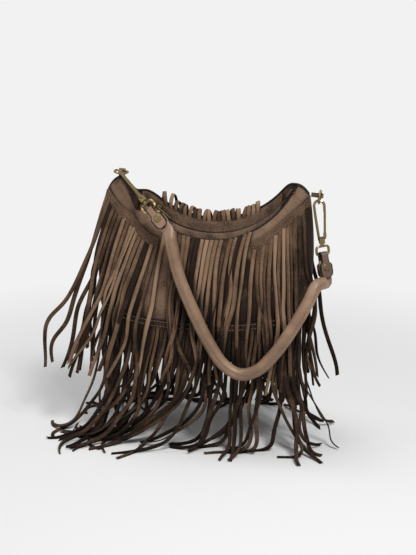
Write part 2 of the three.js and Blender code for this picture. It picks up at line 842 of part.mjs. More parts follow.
function lowerStrand(side, across, index) {
  const rows = headerRows(side, across, lowerRoot, headerHeight, lowerHeaderOffset);
  const header = rows[1];
  const stray = side === FRONT && index === strayIndex ? strayReach : 0;
  const reach = lowerReach + stray;
  const shift = (height) => sweepLeft * Math.max(0, 1 - height / sweepStart) ** 2;
  rows.push(freeRow(header, lowerBendHeight, lowerBendOut, shift(lowerBendHeight)));
  rows.push(freeRow(header, lowerKneeHeight, lowerKneeShare * reach, shift(lowerKneeHeight)));
  rows.push(freeRow(header, 0, reach, shift(0)));
  return rows;
}

function addFringe(side, tierName, rootHeight, pitch, strandRows) {
  const sideName = side === FRONT ? 'front' : 'back';
  const groups = { left: [], centre: [], right: [] };
  strandPlaces(side, rootHeight, pitch).forEach((across, index) => {
    const place = across < -centreFringeHalf ? 'left' : across > centreFringeHalf ? 'right' : 'centre';
    groups[place].push(strandRows(side, across, index));
  });
  for (const [place, strands] of Object.entries(groups)) {
    addPart(`fringe_${tierName}_${sideName}_${place}`, combGeometry(strands), suede);
  }
}

for (const side of [FRONT, BACK]) {
  addFringe(side, 'upper', upperRoot, upperStrandPitch, upperStrand);
  addFringe(side, 'lower', lowerRoot, lowerStrandPitch, lowerStrand);
}

// Handle frame: the swing line and, at each end, the hook's direction

const swingLine = rightPivot.clone().sub(leftPivot).normalize();

// Left ear: a D-shaped ring whose straight bar turns in a suede loop

const leftRingOut = new THREE.Vector3(0, -Math.cos(THREE.MathUtils.degToRad(leftRingDip)),
  -Math.sin(THREE.MathUtils.degToRad(leftRingDip)));
leftRingOut.addScaledVector(swingLine, -leftRingOut.dot(swingLine)).normalize();
const leftRingNormal = new THREE.Vector3().crossVectors(swingLine, leftRingOut);
const leftRingHalf = leftRingWidth / 2;

function leftRingPath() {
  const cornerX = leftRingHalf - leftRingCorner;
  const corner = (sign) => along(leftPivot, [swingLine, sign * cornerX], [leftRingOut, leftRingCorner]);
  const bow = along(leftPivot, [leftRingOut, leftRingCorner + 1]);
  return [
    ...arcPoints(corner(-1), swingLine, leftRingOut, leftRingCorner, 180, 270, 4),
    ...arcPoints(corner(1), swingLine, leftRingOut, leftRingCorner, 270, 360, 4),
    ...arcPoints(bow, swingLine, leftRingOut, leftRingHalf, 0, 180, 8),
  ];
}

// A suede loop folded round a wire. It lies in the plane of its two leaves' run and its fold.
function foldedLoop(centre, foldAxis, run, width, wireRadius, leafGap, leafLength, leather) {
  const across = new THREE.Vector3().crossVectors(foldAxis, run).normalize();
  const inner = wireRadius + touchGap;
  const bend = (radius) => arcPoints(centre, across, run, radius, 0, -180, 8);
  const neck = leafGap / 2;
  const leafEnd = (offset) => along(centre, [run, leafLength], [across, offset]);
  const leafStart = (offset) => along(centre, [run, inner + leather + 1], [across, offset]);
  const outerSkin = [leafEnd(neck + leather), leafStart(neck + leather), ...bend(inner + leather)];
  outerSkin.push(leafStart(-neck - leather), leafEnd(-neck - leather));
  const innerSkin = [leafEnd(neck), leafStart(neck), ...bend(inner), leafStart(-neck), leafEnd(-neck)];
  const shifted = (skin, amount) => skin.map((point) => along(point, [foldAxis, amount]));
  return slabGeometry(
    [shifted(outerSkin, -width / 2), shifted(outerSkin, width / 2)],
    [shifted(innerSkin, -width / 2), shifted(innerSkin, width / 2)],
  );
}

addPart('ear_ring_left', wireGeometry(leftRingPath(), leftRingNormal, ringWire / 2, 6, true), antiqueBrass);
const leftLoopRun = new THREE.Vector3(0, 0, -1);
leftLoopRun.addScaledVector(swingLine, -leftLoopRun.dot(swingLine)).normalize();
addPart('ear_loop_left', foldedLoop(leftPivot, swingLine, leftLoopRun, leftLoopWidth, ringWire / 2,
  2 * touchGap, leftLoopDepth, loopLeather), suede);

// Right ear: a round ring square to the swing line, so that the hook can slide round it

const ringBack = new THREE.Vector3(0, 1, 0);
ringBack.addScaledVector(swingLine, -ringBack.dot(swingLine)).normalize();
const ringUp = new THREE.Vector3().crossVectors(swingLine, ringBack);

const rightRingPath = arcPoints(rightPivot, ringBack, ringUp, rightRingRadius, 0, 360, 16).slice(0, -1);
addPart('ear_ring_right', wireGeometry(rightRingPath, swingLine, ringWire / 2, 6, true), antiqueBrass);
const rightLoopCentre = along(rightPivot, [ringBack, rightRingRadius]);
const rightLoopRun = new THREE.Vector3(-1, 0, 0);
rightLoopRun.addScaledVector(ringUp, -rightLoopRun.dot(ringUp)).normalize();
addPart('ear_loop_right', foldedLoop(rightLoopCentre, ringUp, rightLoopRun, rightLoopWidth, ringWire / 2 + 0.5,
  2 * touchGap, rightLoopDepth, loopLeather), suede);

// Snap hooks. Each lies in the plane of its own width and its run, which points from the ring to the strap.

function hookFrame(contact, run, width) {
  const normal = new THREE.Vector3().crossVectors(width, run).normalize();
  const across = new THREE.Vector3().crossVectors(run, normal).normalize();
  const at = (u, w, n = 0) => along(contact, [across, u], [run, w], [normal, n]);
  return { contact, run, across, normal, at };
}

const ringToBow = ringWire / 2 + hookWire / 2 + bowClearance;
const bowCentreRun = hookBowRadius - ringToBow;
const barrelStart = hookLength - barrelLength;
const spineFoot = barrelRadius - hookWire / 2 + 0.9;
const gatePivotRun = barrelStart - 3;
const gatePivotSide = -4.4;
const gateTopRun = bowCentreRun + hookNoseLength;
const pinHole = gatePinRadius + touchGap;

function hookBody(frame) {
  const bow = arcPoints(frame.at(0, bowCentreRun), frame.across, frame.run, hookBowRadius, 180, 360, 8);
  const path = [frame.at(-hookBowRadius + 0.2, gateTopRun - touchGap), ...bow];
  for (let step = 1; step <= 4; step += 1) {
    const share = step / 4;
    path.push(frame.at(mix(hookBowRadius, spineFoot, share ** 1.3), mix(bowCentreRun, barrelStart + 3, share)));
  }
  const wire = toManifold(wireGeometry(path, frame.normal, hookWire / 2, 6, false));
  const barrel = toManifold(rodGeometry(frame.at(0, barrelStart), frame.at(0, hookLength), barrelRadius, 12));
  const lugDirections = [frame.across, frame.run, frame.normal];
  const lugLength = barrelStart + 1.5 - (gatePivotRun - 2);
  const lug = toManifold(blockGeometry(
    frame.at(gatePivotSide + 1.1, gatePivotRun - 2 + lugLength / 2),
    lugDirections,
    [4.6, lugLength, gateLugThickness],
  ));
  const bore = toManifold(rodGeometry(frame.at(0, barrelStart - 4), frame.at(0, hookLength + 1), postRadius + touchGap, 12));
  const headRoom = toManifold(rodGeometry(
    frame.at(0, barrelStart - 5),
    frame.at(0, barrelStart + 0.15),
    postHeadRadius + touchGap,
    12,
  ));
  const pinRoom = toManifold(rodGeometry(
    frame.at(gatePivotSide, gatePivotRun, -gatePinLength),
    frame.at(gatePivotSide, gatePivotRun, gatePinLength),
    pinHole,
    12,
  ));
  return fromManifold(wire.add(barrel).add(lug).subtract(bore).subtract(headRoom).subtract(pinRoom));
}

function hookGate(frame) {
  const foot = gateLugThickness / 2 + touchGap + gateCheek;
  const top = frame.at(-hookBowRadius + 0.1, gateTopRun);
  const bottom = frame.at(gatePivotSide, gatePivotRun - 2.4);
  const bar = toManifold(rodGeometry(top, bottom, gateWidth / 2, 10));
  const block = toManifold(blockGeometry(
    frame.at(gatePivotSide, gatePivotRun - 0.9),
    [frame.across, frame.run, frame.normal],
    [gateBlockWidth, gateBlockHeight, 2 * foot],
  ));
  const slot = toManifold(blockGeometry(
    frame.at(gatePivotSide + 1, gatePivotRun + 0.9),
    [frame.across, frame.run, frame.normal],
    [gateSlotReach, gateSlotHeight, gateLugThickness + 2 * touchGap],
  ));
  const pinRoom = toManifold(rodGeometry(
    frame.at(gatePivotSide, gatePivotRun, -gatePinLength),
    frame.at(gatePivotSide, gatePivotRun, gatePinLength),
    pinHole,
    12,
  ));
  return fromManifold(bar.add(block).subtract(slot).subtract(pinRoom));
}

function gatePin(frame) {
  const half = gatePinLength / 2;
  return rodGeometry(
    frame.at(gatePivotSide, gatePivotRun, -half),
    frame.at(gatePivotSide, gatePivotRun, half),
    gatePinRadius,
    10,
  );
}

const eyeTop = hookLength + eyeNeck;
const eyeBarRun = eyeTop + eyeHeight;

function hookEye(frame, eyeAcross) {
  const eyeNormal = new THREE.Vector3().crossVectors(eyeAcross, frame.run).normalize();
  const half = eyeWidth / 2;
  const corner = (u, w) => along(frame.contact, [eyeAcross, u * (half - eyeCorner)], [frame.run, w]);
  const upper = eyeTop + eyeCorner;
  const lower = eyeBarRun - eyeCorner;
  const path = [
    ...arcPoints(corner(-1, upper), eyeAcross, frame.run, eyeCorner, 180, 270, 3),
    ...arcPoints(corner(1, upper), eyeAcross, frame.run, eyeCorner, 270, 360, 3),
    ...arcPoints(corner(1, lower), eyeAcross, frame.run, eyeCorner, 0, 90, 3),
    ...arcPoints(corner(-1, lower), eyeAcross, frame.run, eyeCorner, 90, 180, 3),
  ];
  const loop = toManifold(wireGeometry(path, eyeNormal, eyeWire / 2, 6, true));
  const headFoot = barrelStart - touchGap;
  const post = toManifold(rodGeometry(frame.at(0, headFoot - 0.2), frame.at(0, eyeTop), postRadius, 12));
  const head = toManifold(rodGeometry(frame.at(0, headFoot - postHeadHeight), frame.at(0, headFoot), postHeadRadius, 12));
  const collar = toManifold(rodGeometry(frame.at(0, hookLength + touchGap), frame.at(0, eyeTop), postRadius + 1, 12));
  return fromManifold(loop.add(post).add(head).add(collar));
}

const leftRun = new THREE.Vector3(0.68, -0.42, -0.62).normalize();
const leftContactAngle = 70;
const leftTurn = THREE.MathUtils.degToRad(leftContactAngle);
const leftContact = along(
  leftPivot,
  [swingLine, leftRingHalf * Math.cos(leftTurn)],
  [leftRingOut, leftRingCorner + 1 + leftRingHalf * Math.sin(leftTurn)],
  [leftRun, -leftBowEase],
);
const leftWide = new THREE.Vector3(0, -0.88, 0.46);
const leftHook = hookFrame(leftContact, leftRun, leftWide);

const rightRun = new THREE.Vector3(0.11, -0.07, -0.99).normalize();
const rightPull = rightRun.clone().addScaledVector(swingLine, -rightRun.dot(swingLine)).normalize();
const rightContact = along(rightPivot, [rightPull, rightRingRadius]);
const rightHook = hookFrame(rightContact, rightRun, new THREE.Vector3(-1, 0, 0));

const leftFacing = new THREE.Vector3(-0.2, -0.9, 0.35).normalize();
const leftEyeAcross = new THREE.Vector3().crossVectors(leftFacing, leftRun).normalize();
const rightFacing = new THREE.Vector3(0.55, -0.82, 0).normalize();
const rightEyeAcross = new THREE.Vector3().crossVectors(rightFacing, rightRun).normalize();

const hookEnds = [
  { name: 'left', frame: leftHook, eyeAcross: leftEyeAcross },
  { name: 'right', frame: rightHook, eyeAcross: rightEyeAcross },
];
for (const { name, frame, eyeAcross } of hookEnds) {
  addPart(`hook_${name}`, hookBody(frame), antiqueBrass);
  addPart(`hook_gate_${name}`, hookGate(frame), antiqueBrass);
  addPart(`hook_gate_pin_${name}`, gatePin(frame), antiqueBrass);
  addPart(`hook_eye_${name}`, hookEye(frame, eyeAcross), antiqueBrass);
}

// Handle ends: a leather tab folded round the eye's bar, riveted through the flattened end of the strap

function tabFrame(hook, eyeAcross, run) {
  const bar = hook.at(0, eyeBarRun);
  const straight = run.clone().addScaledVector(eyeAcross, -run.dot(eyeAcross)).normalize();
  const normal = new THREE.Vector3().crossVectors(eyeAcross, straight).normalize();
  const across = new THREE.Vector3().crossVectors(straight, normal).normalize();
  const shift = strapFlatHalfThickness - eyeWire / 2;
  const centre = along(bar, [straight, shift]);
  const at = (u, w, n = 0) => along(centre, [across, u], [straight, w], [normal, n]);
  return { centre, run: straight, across, normal, at };
}

function handleTab(frame) {
  const inner = strapFlatHalfThickness + tabClearance;
  const bend = (radius) => arcPoints(frame.centre, frame.normal, frame.run, radius, 0, -180, 6);
  const side = (radius, sign) => frame.at(0, tabLength, sign * radius);
  const outerSkin = [side(inner + tabLeather, 1), ...bend(inner + tabLeather), side(inner + tabLeather, -1)];
  const innerSkin = [side(inner, 1), ...bend(inner), side(inner, -1)];
  const shifted = (skin, amount) => skin.map((point) => along(point, [frame.across, amount]));
  const fold = toManifold(slabGeometry(
    [shifted(outerSkin, -tabWidth / 2), shifted(outerSkin, tabWidth / 2)],
    [shifted(innerSkin, -tabWidth / 2), shifted(innerSkin, tabWidth / 2)],
  ));
  const half = tabWidth / 2;
  const reach = inner + tabLeather + 1;
  const outline = [
    frame.at(-half, tabNeckLength + 4),
    frame.at(-tabNeckWidth / 2, tabNeckLength),
    frame.at(-tabNeckWidth / 2, -reach),
    frame.at(tabNeckWidth / 2, -reach),
    frame.at(tabNeckWidth / 2, tabNeckLength),
    frame.at(half, tabNeckLength + 4),
    ...arcPoints(frame.at(0, tabLength - half), frame.across, frame.run, half, 0, 180, 8),
  ];
  const blank = toManifold(prismGeometry(outline, frame.normal, reach));
  const hole = toManifold(rodGeometry(
    frame.at(0, rivetFromLoop, -reach),
    frame.at(0, rivetFromLoop, reach),
    rivetShankRadius + touchGap,
    12,
  ));
  return fromManifold(fold.intersect(blank).subtract(hole));
}

function rivet(frame) {
  const face = strapFlatHalfThickness + tabClearance + tabLeather + touchGap;
  const dome = face + rivetHeadHeight;
  const profile = [
    [0, -dome],
    [rivetHeadRadius * 0.75, -dome + 0.3],
    [rivetHeadRadius, -face],
    [rivetShankRadius, -face],
    [rivetShankRadius, face],
    [rivetHeadRadius, face],
    [rivetHeadRadius * 0.75, dome - 0.3],
    [0, dome],
  ].map(([radius, height]) => new THREE.Vector2(radius, height));
  const geometry = new THREE.LatheGeometry(profile, 12);
  geometry.deleteAttribute('uv');
  geometry.deleteAttribute('normal');
  const welded = mergeVertices(geometry, 1e-4);
  const turn = new THREE.Quaternion().setFromUnitVectors(new THREE.Vector3(0, 1, 0), frame.normal);
  welded.applyQuaternion(turn);
  const centre = frame.at(0, rivetFromLoop);
  welded.translate(centre.x, centre.y, centre.z);
  welded.computeVertexNormals();
  return welded;
}

const leftTabRun = new THREE.Vector3(0.44, -0.36, -0.82).normalize();
const rightTabRun = new THREE.Vector3(-0.12, -0.36, -0.92).normalize();
const leftTab = tabFrame(leftHook, leftEyeAcross, leftTabRun);
const rightTab = tabFrame(rightHook, rightEyeAcross, rightTabRun);

// Strap: a rolled leather tube that hangs as a deep curve in front of the bag. Its middle points were
// placed by eye on the hanging handle, from left to right.
const strapMiddle = [
  [-26, -61, 229],
  [-6, -68, 184],
  [14, -72, 146],
  [34, -75, 119],
  [54, -76, 109],
  [75, -75, 115],
  [97, -71, 138],
  [118, -61, 170],
  [133, -50, 197],
  [143, -38, 217],
];

function strapGeometry() {
  const start = leftTab.at(0, strapEndInset);
  const startFlat = [tabLength / 2, tabLength, tabLength + strapStraight].map((run) => leftTab.at(0, run));
  const end = rightTab.at(0, strapEndInset);
  const endFlat = [tabLength + strapStraight, tabLength, tabLength / 2].map((run) => rightTab.at(0, run));
  const middle = strapMiddle.map(([x, y, z]) => new THREE.Vector3(x, y, z));
  const path = new THREE.CatmullRomCurve3(
    [start, ...startFlat, ...middle, ...endFlat, end],
    false,
    'centripetal',
  );
  const total = path.getLength();
  const steps = 36;
  const rings = [];
  for (let step = 0; step <= steps; step += 1) {
    const share = step / steps;
    const centre = path.getPointAt(share);
    const tangent = path.getTangentAt(share);
    const turn = THREE.MathUtils.smoothstep(share, 0.2, 0.8);
    const facing = leftTab.normal.clone().lerp(rightTab.normal, turn);
    const wide = new THREE.Vector3().crossVectors(tangent, facing).normalize();
    const thin = new THREE.Vector3().crossVectors(wide, tangent).normalize();
    const fromEnd = Math.min(share, 1 - share) * total;
    const swell = clamp((fromEnd - tabLength - 1 + strapEndInset) / strapSwellLength, 0, 1);
    const ease = swell * swell * (3 - 2 * swell);
    rings.push(ovalRing(
      centre,
      wide,
      thin,
      mix(strapFlatHalfWidth, strapRadius, ease),
      mix(strapFlatHalfThickness, strapRadius, ease),
      10,
    ));
  }
  let solid = toManifold(tubeGeometry(rings, false));
  for (const frame of [leftTab, rightTab]) {
    const hole = rodGeometry(
      frame.at(0, rivetFromLoop, -strapRadius),
      frame.at(0, rivetFromLoop, strapRadius),
      rivetShankRadius + touchGap,
      12,
    );
    solid = solid.subtract(toManifold(hole));
  }
  return fromManifold(solid);
}

addPart('handle_strap', strapGeometry(), handleLeather);
addPart('handle_tab_left', handleTab(leftTab), handleLeather);
addPart('handle_tab_right', handleTab(rightTab), darkSuede);
addPart('handle_rivet_left', rivet(leftTab), antiqueBrass);
addPart('handle_rivet_right', rivet(rightTab), antiqueBrass);

// The origin is on the surface that the fringe stands on, below the middle of the whole form
const extent = new THREE.Box3().setFromObject(bag);
bag.position.set(-(extent.min.x + extent.max.x) / 2, -(extent.min.y + extent.max.y) / 2, -extent.min.z);

export default bag;
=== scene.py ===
"""Fringed suede shoulder bag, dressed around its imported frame.

The panels, the strips of the fringe, the handle and the brass fittings are built in metres in the
frame's own axes: +Z up, +X from the left ear to the right ear and -Y towards the front of the bag.
"""

import logging
import math
from dataclasses import dataclass, field
from enum import Enum
from typing import Callable, Sequence

import bpy
import numpy as np
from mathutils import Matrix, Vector


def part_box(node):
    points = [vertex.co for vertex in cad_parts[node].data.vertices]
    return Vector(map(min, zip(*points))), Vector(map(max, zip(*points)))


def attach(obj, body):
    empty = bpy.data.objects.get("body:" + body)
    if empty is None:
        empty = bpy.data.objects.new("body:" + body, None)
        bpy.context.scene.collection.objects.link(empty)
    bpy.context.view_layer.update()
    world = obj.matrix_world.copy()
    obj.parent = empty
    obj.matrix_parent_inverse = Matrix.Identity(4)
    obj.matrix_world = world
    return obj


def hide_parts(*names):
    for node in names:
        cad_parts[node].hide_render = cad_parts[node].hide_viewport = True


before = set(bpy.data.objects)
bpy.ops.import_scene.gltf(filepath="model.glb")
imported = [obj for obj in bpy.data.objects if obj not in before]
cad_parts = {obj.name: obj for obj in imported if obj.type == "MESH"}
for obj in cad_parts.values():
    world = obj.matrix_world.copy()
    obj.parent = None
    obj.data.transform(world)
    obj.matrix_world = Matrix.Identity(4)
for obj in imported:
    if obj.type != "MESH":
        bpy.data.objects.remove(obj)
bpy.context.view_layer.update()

MM = 0.001
Array = np.ndarray
Socket = bpy.types.NodeSocket
Tree = bpy.types.NodeTree
Material = bpy.types.Material
Piece = bpy.types.Object
log = logging.getLogger("bag")


class Side(Enum):
    """The two faces of the bag, by the sign of their Y."""

    FRONT = -1
    BACK = 1


class Tier(Enum):
    """The two rows of fringe on each face."""

    UPPER = "upper"
    LOWER = "lower"


# Colour and shader nodes


def linear(code: str) -> tuple[float, float, float, float]:
    """Turn an sRGB hex colour into linear values.

    Args:
        code: Six hex digits, red first.

    Returns:
        Linear red, green, blue and an alpha of one.
    """
    values = [int(code[i:i + 2], 16) / 255 for i in (0, 2, 4)]
    red, green, blue = (v / 12.92 if v <= 0.04045 else ((v + 0.055) / 1.055) ** 2.4 for v in values)
    return red, green, blue, 1.0


def add_node(tree: Tree, kind: str, settings: dict | None = None,
             links: dict | None = None) -> bpy.types.Node:
    """Add one shader node with its settings and links.

    Args:
        tree: The node tree to add to.
        kind: The node's type name.
        settings: Values by the name of a property or an input socket.
        links: Output sockets by the name or number of the input that they feed.

    Returns:
        The new node.
    """
    node = tree.nodes.new(kind)
    for name, value in (settings or {}).items():
        if isinstance(name, str) and hasattr(node, name):
            setattr(node, name, value)
        else:
            node.inputs[name].default_value = value
    for name, socket in (links or {}).items():
        tree.links.new(socket, node.inputs[name])
    return node


def new_material(name: str) -> tuple[Material, Tree]:
    """Make an empty node material.

    Args:
        name: The material's name.

    Returns:
        The material and its node tree.
    """
    material = bpy.data.materials.new(name)
    material.use_nodes = True
    material.node_tree.nodes.clear()
    return material, material.node_tree


def per_metre(feature_mm: float) -> float:
    """Noise scale whose features are about the given size in millimetres."""
    return 1.0 / (feature_mm * MM)


def noise_over(tree: Tree, place: Socket, feature_mm: float, detail: float,
               roughness: float = 0.5) -> Socket:
    """Noise from 0 to 1 whose features are about the given size in millimetres."""
    return add_node(tree, "ShaderNodeTexNoise", {"Scale": per_metre(feature_mm), "Detail": detail,
                                                 "Roughness": roughness}, {"Vector": place}).outputs[0]


def calc(tree: Tree, operation: str, *values: Socket | float) -> Socket:
    """One step of arithmetic on sockets and plain numbers.

    Args:
        tree: The material's node tree.
        operation: The kind of step.
        values: What it works on, in order.

    Returns:
        The result.
    """
    settings = {i: value for i, value in enumerate(values) if isinstance(value, float)}
    links = {i: value for i, value in enumerate(values) if not isinstance(value, float)}
    return add_node(tree, "ShaderNodeMath", {"operation": operation, **settings}, links).outputs[0]


def rescale(tree: Tree, value: Socket, old: tuple[float, float],
            new: tuple[float, float]) -> Socket:
    """Move a value from one range to another, kept inside the new one."""
    return add_node(tree, "ShaderNodeMapRange", {"From Min": old[0], "From Max": old[1], "To Min": new[0],
                                                 "To Max": new[1]}, {0: value}).outputs[0]


def ramp_over(tree: Tree, level: Socket, stops: Sequence[tuple[float, str]]) -> Socket:
    """Colour that runs through hex stops, given by place and lowest first, as a level rises.

    Args:
        tree: The material's node tree.
        level: The level that picks the colour.
        stops: The places and their hex colours.

    Returns:
        The colour.
    """
    node = add_node(tree, "ShaderNodeValToRGB", None, {0: level})
    elements = node.color_ramp.elements
    for element, (place, code) in zip((elements[0], elements[1]), (stops[0], stops[-1])):
        element.color = linear(code)
        element.position = place
    for place, code in stops[1:-1]:
        elements.new(place).color = linear(code)
    return node.outputs[0]


def relief(tree: Tree, height: Socket, strength: float, depth_mm: float) -> Socket:
    """Bump from a height that stands for the given depth in millimetres."""
    return add_node(tree, "ShaderNodeBump", {"Strength": strength, "Distance": depth_mm * MM},
                    {"Height": height}).outputs[0]


@dataclass(frozen=True)
class Finish:
    """A procedural finish. Its colours are sRGB hex codes and its pattern sizes are in millimetres."""

    name: str

    def surface(self, tree: Tree, place: Socket) -> tuple[dict, dict]:
        """Settings and links of the finish's shader."""
        raise NotImplementedError

    def build(self) -> Material:
        """Make the material.

        Returns:
            The material.
        """
        material, tree = new_material(self.name)
        place = add_node(tree, "ShaderNodeTexCoord").outputs["Object"]
        shader = add_node(tree, "ShaderNodeBsdfPrincipled", *self.surface(tree, place))
        add_node(tree, "ShaderNodeOutputMaterial", None, {"Surface": shader.outputs[0]})
        return material


@dataclass(frozen=True)
class BrushedSuede(Finish):
    """Split leather, sanded to a nap on its face. The nap scatters light, so it has no highlight, and
    strokes across it leave soft lighter and darker clouds. Painted shade darkens it nearly to black in
    crevices and deep between strips."""

    shade: str
    light: str
    dark: str
    cloud_mm: float = 22.0
    nap_mm: float = 1.6
    nap_depth_mm: float = 0.35
    strand_share: float = 0.0
    sheen: float = 0.25
    cloud_share: float = 1.0
    crevice_shade_mm: float = 16.0
    crevice_shade_power: float = 2.3

    def surface(self, tree: Tree, place: Socket) -> tuple[dict, dict]:
        """Clouds, nap, each strand's own tone and painted shade from the stored tone, and painted shade in
        crevices.

        Args:
            tree: The material's node tree.
            place: Where on the piece the patterns are read.

        Returns:
            The surface's settings and its links.
        """
        nap = noise_over(tree, place, self.nap_mm, 4.0, 0.65)
        half = self.cloud_share / 2
        cloud = rescale(tree, noise_over(tree, place, self.cloud_mm, 3.0, 0.6), (0.32, 0.68),
                        (0.5 - half, 0.5 + half))
        level = calc(tree, "ADD", cloud, rescale(tree, nap, (0.3, 0.7), (-0.2, 0.2)))
        # The stored tone holds each strand's own random tone and painted shade.
        if self.strand_share > 0:
            tone = add_node(tree, "ShaderNodeAttribute", {"attribute_name": "tone"}).outputs["Fac"]
            level = calc(tree, "ADD", level, calc(tree, "MULTIPLY", tone, self.strand_share))
        ramp = ramp_over(tree, level, ((0.05, self.dark), (0.5, self.shade), (0.95, self.light)))
        # Painted shade: ambient occlusion darkens the colour in crevices and between strips.
        open_sky = add_node(tree, "ShaderNodeAmbientOcclusion",
                            {"Distance": self.crevice_shade_mm * MM, "samples": 6}).outputs["AO"]
        share = calc(tree, "POWER", open_sky, self.crevice_shade_power)
        colour = add_node(tree, "ShaderNodeVectorMath", {"operation": "SCALE"}, {0: ramp, "Scale": share})
        return ({"Roughness": 0.93, "Specular IOR Level": 0.2, "Sheen Weight": self.sheen,
                 "Sheen Roughness": 0.6, "Sheen Tint": linear(self.light)},
                {"Base Color": colour.outputs[0], "Normal": relief(tree, nap, 0.5, self.nap_depth_mm)})


@dataclass(frozen=True)
class RolledLeather(Finish):
    """Vegetable-tanned cowhide, rolled round a core and burnished. A thin wax coat gives a soft highlight
    over fine grain, and handling leaves faint darker patches."""

    shade: str
    light: str
    dark: str
    grain_mm: float = 1.3
    patch_mm: float = 30.0
    speck_mm: float = 2.2

    def surface(self, tree: Tree, place: Socket) -> tuple[dict, dict]:
        """Patches and specks of colour over raised grain.

        Args:
            tree: The material's node tree.
            place: Where on the piece the patterns are read.

        Returns:
            The surface's settings and its links.
        """
        speck = noise_over(tree, place, self.speck_mm, 5.0, 0.7)
        grain = add_node(tree, "ShaderNodeTexVoronoi", {"Scale": per_metre(self.grain_mm)}, {"Vector": place})
        level = calc(tree, "ADD", noise_over(tree, place, self.patch_mm, 4.0, 0.6),
                     calc(tree, "MULTIPLY_ADD", speck, 0.35, -0.175))
        colour = ramp_over(tree, level, ((0.28, self.dark), (0.5, self.shade), (0.72, self.light)))
        return ({"Specular IOR Level": 0.5, "Coat Weight": 0.25, "Coat Roughness": 0.3},
                {"Base Color": colour, "Roughness": rescale(tree, speck, (0.0, 1.0), (0.42, 0.62)),
                 "Normal": relief(tree, grain.outputs["Distance"], 0.35, 0.15)})


@dataclass(frozen=True)
class EdgePaint(Finish):
    """Several coats of dark edge paint, sanded between coats, on the cut edges of leather. It gives a near
    black line with a dull shine."""

    shade: str
    light: str
    wear_mm: float = 3.0

    def surface(self, tree: Tree, place: Socket) -> tuple[dict, dict]:
        """Paint that is worn lighter in places.

        Args:
            tree: The material's node tree.
            place: Where on the piece the patterns are read.

        Returns:
            The surface's settings and its links.
        """
        worn = noise_over(tree, place, self.wear_mm, 3.0)
        return ({"Roughness": 0.7, "Specular IOR Level": 0.2},
                {"Base Color": ramp_over(tree, worn, ((0.45, self.shade), (0.8, self.light))),
                 "Normal": relief(tree, worn, 0.3, 0.1)})


@dataclass(frozen=True)
class AntiqueBrass(Finish):
    """Cast brass, dipped to darken it and brushed back on its high spots. Light edges and dark hollows
    with a broken, satin shine."""

    bright: str
    dark: str
    stain_mm: float = 5.0

    def surface(self, tree: Tree, place: Socket) -> tuple[dict, dict]:
        """Stain that is rubbed off along the edges.

        Args:
            tree: The material's node tree.
            place: Where on the piece the patterns are read.

        Returns:
            The surface's settings and its links.
        """
        worn = add_node(tree, "ShaderNodeNewGeometry").outputs["Pointiness"]
        level = calc(tree, "ADD", noise_over(tree, place, self.stain_mm, 5.0, 0.65),
                     rescale(tree, worn, (0.44, 0.56), (-0.15, 0.25)))
        return ({"Metallic": 1.0},
                {"Base Color": ramp_over(tree, level, ((0.3, self.dark), (0.65, self.bright))),
                 "Roughness": rescale(tree, level, (0.0, 1.0), (0.5, 0.22))})


@dataclass(frozen=True)
class WaxedThread(Finish):
    """Waxed linen sewing thread or woven tape, which shows as a fine twist with a slight shine."""

    shade: str
    twist_mm: float = 2.0

    def surface(self, tree: Tree, place: Socket) -> tuple[dict, dict]:
        """One colour over twisted yarn.

        Args:
            tree: The material's node tree.
            place: Where on the piece the patterns are read.

        Returns:
            The surface's settings and its links.
        """
        twist = add_node(tree, "ShaderNodeTexWave", {"Scale": per_metre(self.twist_mm)}, {"Vector": place})
        return ({"Base Color": linear(self.shade), "Roughness": 0.6},
                {"Normal": relief(tree, twist.outputs[0], 0.3, 0.1)})


# Meshes


def new_piece(name: str, points: Array, faces: Sequence, materials: Sequence[Material],
              face_slots: Array | None = None, smooth: bool = True) -> Piece:
    """Make a mesh object from points and faces.

    Args:
        name: The piece's name.
        points: Vertices, one row each, in metres.
        faces: Faces as lists of vertex numbers.
        materials: The piece's materials in slot order.
        face_slots: The material slot of each face, or None for the first.
        smooth: Whether its faces are shaded smooth.

    Returns:
        The new object, linked to the scene.
    """
    mesh = bpy.data.meshes.new(name)
    mesh.from_pydata(np.asarray(points, float).reshape(-1, 3).tolist(), [], [list(f) for f in faces])
    for material in materials:
        mesh.materials.append(material)
    if face_slots is not None:
        mesh.polygons.foreach_set("material_index", np.asarray(face_slots, np.int32))
    mesh.polygons.foreach_set("use_smooth", np.full(len(mesh.polygons), smooth))
    mesh.update()
    piece = bpy.data.objects.new(name, mesh)
    bpy.context.scene.collection.objects.link(piece)
    return piece


def point_values(piece: Piece, name: str, values: Array) -> None:
    """Store one number for each vertex under a name that a material can read."""
    attribute = piece.data.attributes.new(name, "FLOAT", "POINT")
    attribute.data.foreach_set("value", np.asarray(values, np.float32).ravel())


def crease_edges(piece: Piece, degrees: float) -> None:
    """Keep a piece's edges sharp where its faces meet at more than an angle."""
    piece.data.set_sharp_from_angle(angle=math.radians(degrees))


def unit(vectors: Array) -> Array:
    """Vectors scaled to length one along the last axis."""
    return vectors / np.maximum(np.linalg.norm(vectors, axis=-1, keepdims=True), 1e-12)


def smooth_step(value: Array, low: float, high: float) -> Array:
    """A ramp from zero at low to one at high with soft ends."""
    share = np.clip((value - low) / (high - low), 0, 1)
    return share * share * (3 - 2 * share)


def run_along(path: Array) -> Array:
    """Distance from a path's start to each of its points."""
    return np.concatenate([[0], np.cumsum(np.linalg.norm(np.diff(path, axis=0), axis=1))])


def read_off(places: Array, known: Array, rows: Array) -> Array:
    """Rows of three values at new places, between the places where they are known."""
    return np.stack([np.interp(places, known, rows[:, k]) for k in range(3)], axis=1)


def square_to(vector: Array, axis: Array) -> Array:
    """The direction of a vector once its part along an axis is taken out."""
    return unit(vector - axis * float(vector @ axis))


def level_out(normal: Array) -> Array:
    """The level direction that a surface faces."""
    return unit(normal * np.array([1.0, 1.0, 0.0]))


